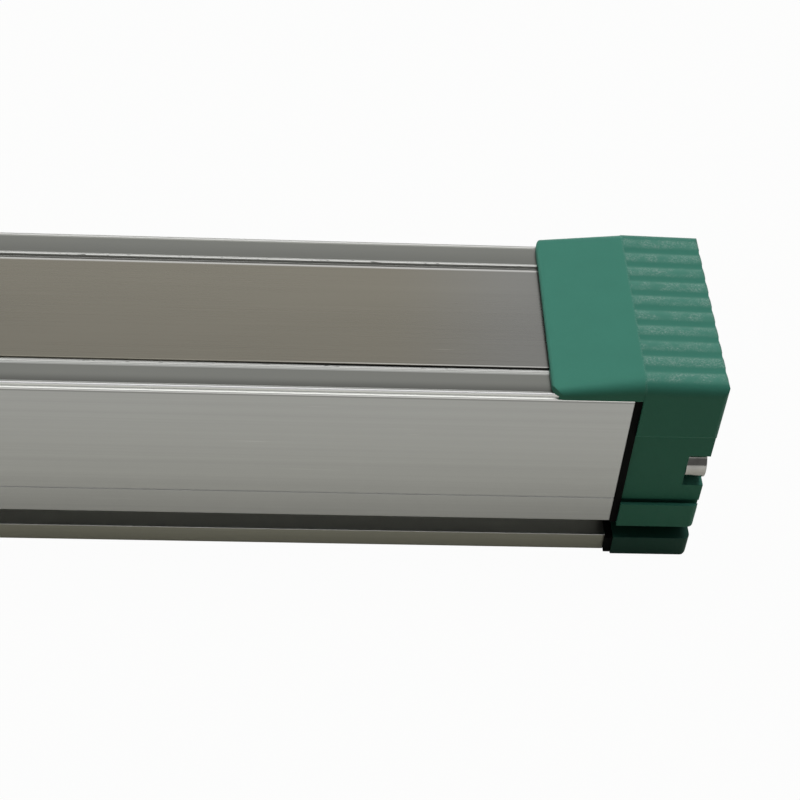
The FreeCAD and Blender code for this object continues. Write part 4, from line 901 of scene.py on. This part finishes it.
class SENSOR_OT_element(bpy.types.Operator):
    """Finishes of the element board, its tracks, wiring and brushes"""

    bl_idname = "sensor.element"
    bl_label = "Element and brushes"

    def execute(self, context):
        give(satin_solid("board_laminate", colours().laminate, 0.5, 4.0, 0.01 * MM), "element_board")
        track = satin_solid("conductive_plastic", colours().track, 0.38, 20.0, 0.006 * MM)
        give(track, "resistive_track", "collector_track")
        give(turned_steel("silver_ink", colours().silver_ink, 0.4, 0.15), "silver_traces")
        give(satin_solid("lead_sheath", colours().sheath, 0.5, 6.0, 0.01 * MM), "inner_leads")
        spring = turned_steel("spring_gold", colours().gold, 0.22, 0.12)
        give(spring, "resistive_brush", "collector_brush")
        return {"FINISHED"}


class SENSOR_OT_coupling(bpy.types.Operator):
    """Threaded coupling rod, and the finishes of the stud, ball and rod end"""

    bl_idname = "sensor.coupling"
    bl_label = "Coupling"

    points_around = 48

    def execute(self, context):
        steel = turned_steel("coupling_steel", colours().zinc, 0.26, 0.22)
        give(steel, "coupling_stud", "coupling_washer", "coupling_nut", "rod_end", "lock_nut")
        give(turned_steel("polished_steel", colours().polished, 0.12, 0.08), "swivel_ball")
        low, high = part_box("coupling_rod")
        centre = middle("coupling_rod")
        crest = (high.y - low.y) / 2
        pitch = sizes().rod_pitch
        chamfer = sizes().rod_chamfer
        mesh = bmesh.new()
        skin(mesh, threaded_rings(low.x, high.x, centre, crest, pitch, self.points_around, chamfer))
        smooth(mesh_piece("threaded_rod", mesh, steel, "coupling_rod", "rod_end"))
        return {"FINISHED"}


class SENSOR_OT_studio(bpy.types.Operator):
    """White floor, soft lights and the camera"""

    bl_idname = "sensor.studio"
    bl_label = "Studio"

    floor_reach = 4.0
    floor_gap = 0.02 * MM
    backdrop_span = (-0.4, 0.4)
    walls_span = (0.45, 0.85)
    ceiling_span = (0.62, 0.92)

    def floor(self):
        """A pale floor just below the sensor."""
        mesh = bmesh.new()
        bmesh.ops.create_grid(mesh, x_segments=4, y_segments=4, size=self.floor_reach)
        data = bpy.data.meshes.new("floor")
        mesh.to_mesh(data)
        mesh.free()
        piece = bpy.data.objects.new("floor", data)
        piece.location.z = CAD_BOX[0].z - self.floor_gap
        bpy.context.scene.collection.objects.link(piece)
        finish = new_finish("white_floor")
        glossy = finish.node("ShaderNodeLightPath", output="Is Glossy Ray")
        tint = finish.mix(glossy, studio().floor_bounce, studio().floor_mirrored)
        lit = finish.node("ShaderNodeBsdfDiffuse", None, {"Color": tint})
        white = finish.node("ShaderNodeEmission", None, {"Color": whole(WHITE), "Strength": 1.0})
        both = finish.node("ShaderNodeMixShader", None, {0: self.whiteness(finish), 1: lit, 2: white})
        finish.node("ShaderNodeOutputMaterial", None, {"Surface": both})
        data.materials.append(finish.owner)

    def whiteness(self, finish):
        """How white the floor is of itself: to the camera, in a mirror and through a glass."""
        camera = finish.node("ShaderNodeLightPath", output="Is Camera Ray")
        glossy = finish.node("ShaderNodeLightPath", output="Is Glossy Ray")
        through = finish.node("ShaderNodeLightPath", output="Is Transmission Ray")
        beside = finish.along("Y").size() - CAD_BOX[1].y
        beyond = finish.along("X").size() - CAD_BOX[1].x
        far = beside.max(beyond).over(-0.3 * studio().mirror_reach, studio().mirror_reach)
        seen = camera.max(through) * (1 - studio().shadow)
        return seen.max(glossy * far * studio().mirror_white)

    def surroundings(self):
        """White to the camera, a graded room in mirrors and a dim sky that fills the shadows."""
        world = bpy.data.worlds.new("studio")
        bpy.context.scene.world = world
        finish = Finish(world)
        camera = finish.node("ShaderNodeLightPath", output="Is Camera Ray")
        glossy = finish.node("ShaderNodeLightPath", output="Is Glossy Ray")
        through = finish.node("ShaderNodeLightPath", output="Is Transmission Ray")
        direction = finish.node("ShaderNodeTexCoord", output="Generated")
        back = finish.part(direction, "Y").over(*self.backdrop_span)
        ends = finish.part(direction, "X").size().over(*self.walls_span) * studio().side_walls
        above = finish.part(direction, "Z").over(*self.ceiling_span) * studio().ceiling
        around = back * studio().backdrop + (1 - back) * studio().room
        mirrored = glossy * around.max(ends).max(above)
        level = camera.max(through).max(mirrored).max(studio().sky)
        light = finish.node("ShaderNodeBackground", None, {"Color": whole(WHITE), "Strength": level})
        finish.node("ShaderNodeOutputWorld", None, {"Surface": light})

    def lamp(self, light, watts):
        """Sets up one soft light."""
        data = bpy.data.lights.new(light.name, "AREA")
        data.shape = "RECTANGLE"
        data.size = light.width
        data.size_y = light.depth
        data.energy = watts
        piece = bpy.data.objects.new(light.name, data)
        aim = (Vector(light.target) - Vector(light.place)).to_track_quat("-Z", "Y")
        piece.matrix_world = Matrix.Translation(light.place) @ aim.to_matrix().to_4x4()
        piece.visible_glossy = light.mirrored
        bpy.context.scene.collection.objects.link(piece)

    def camera(self):
        """Sets up the camera."""
        setting = studio()
        data = bpy.data.cameras.new("camera")
        data.sensor_width = 36
        data.lens = setting.camera_lens
        data.clip_start = 10 * MM
        piece = bpy.data.objects.new("camera", data)
        turn = Matrix.Rotation(-setting.camera_yaw, 4, "Z")
        dip = Matrix.Rotation(math.pi / 2 - setting.camera_pitch, 4, "X")
        lean = Matrix.Rotation(setting.camera_roll, 4, "Z")
        piece.matrix_world = Matrix.Translation(setting.camera_place) @ turn @ dip @ lean
        bpy.context.scene.collection.objects.link(piece)
        bpy.context.scene.camera = piece

    def execute(self, context):
        context.scene.view_settings.view_transform = "Standard"
        self.floor()
        self.surroundings()
        self.lamp(OVERHEAD, studio().overhead)
        self.lamp(PANEL, studio().panel)
        self.lamp(STRIP, studio().strip)
        self.camera()
        return {"FINISHED"}


OPERATORS = (
    SENSOR_OT_extrusion,
    SENSOR_OT_cover_band,
    SENSOR_OT_end_caps,
    SENSOR_OT_screws,
    SENSOR_OT_connector,
    SENSOR_OT_slider,
    SENSOR_OT_element,
    SENSOR_OT_coupling,
    SENSOR_OT_studio,
)


class SENSOR_PT_steps(bpy.types.Panel):
    """The sensor's pieces in the order in which they are made"""

    bl_label = "Linear position sensor"
    bl_space_type = "VIEW_3D"
    bl_region_type = "UI"
    bl_category = "Sensor"

    def draw(self, context):
        for operator in OPERATORS:
            self.layout.operator(operator.bl_idname)
        for group in (colours(), sizes(), studio()):
            box = self.layout.box()
            for name in group.bl_rna.properties.keys():
                if name not in {"rna_type", "name"}:
                    box.prop(group, name)


GROUPS = {"sensor_colours": SensorColours, "sensor_sizes": SensorSizes, "sensor_studio": SensorStudio}
CLASSES = (*GROUPS.values(), *OPERATORS, SENSOR_PT_steps)


def register():
    for item in CLASSES:
        bpy.utils.register_class(item)
    for name, group in GROUPS.items():
        setattr(bpy.types.Scene, name, bpy.props.PointerProperty(type=group))


def unregister():
    for name in GROUPS:
        delattr(bpy.types.Scene, name)
    for item in reversed(CLASSES):
        bpy.utils.unregister_class(item)


def main():
    register()
    bpy.ops.sensor.extrusion()
    bpy.ops.sensor.cover_band()
    bpy.ops.sensor.end_caps()
    bpy.ops.sensor.screws()
    bpy.ops.sensor.connector()
    bpy.ops.sensor.slider()
    bpy.ops.sensor.element()
    bpy.ops.sensor.coupling()
    bpy.ops.sensor.studio()


if __name__ == "__main__":
    main()
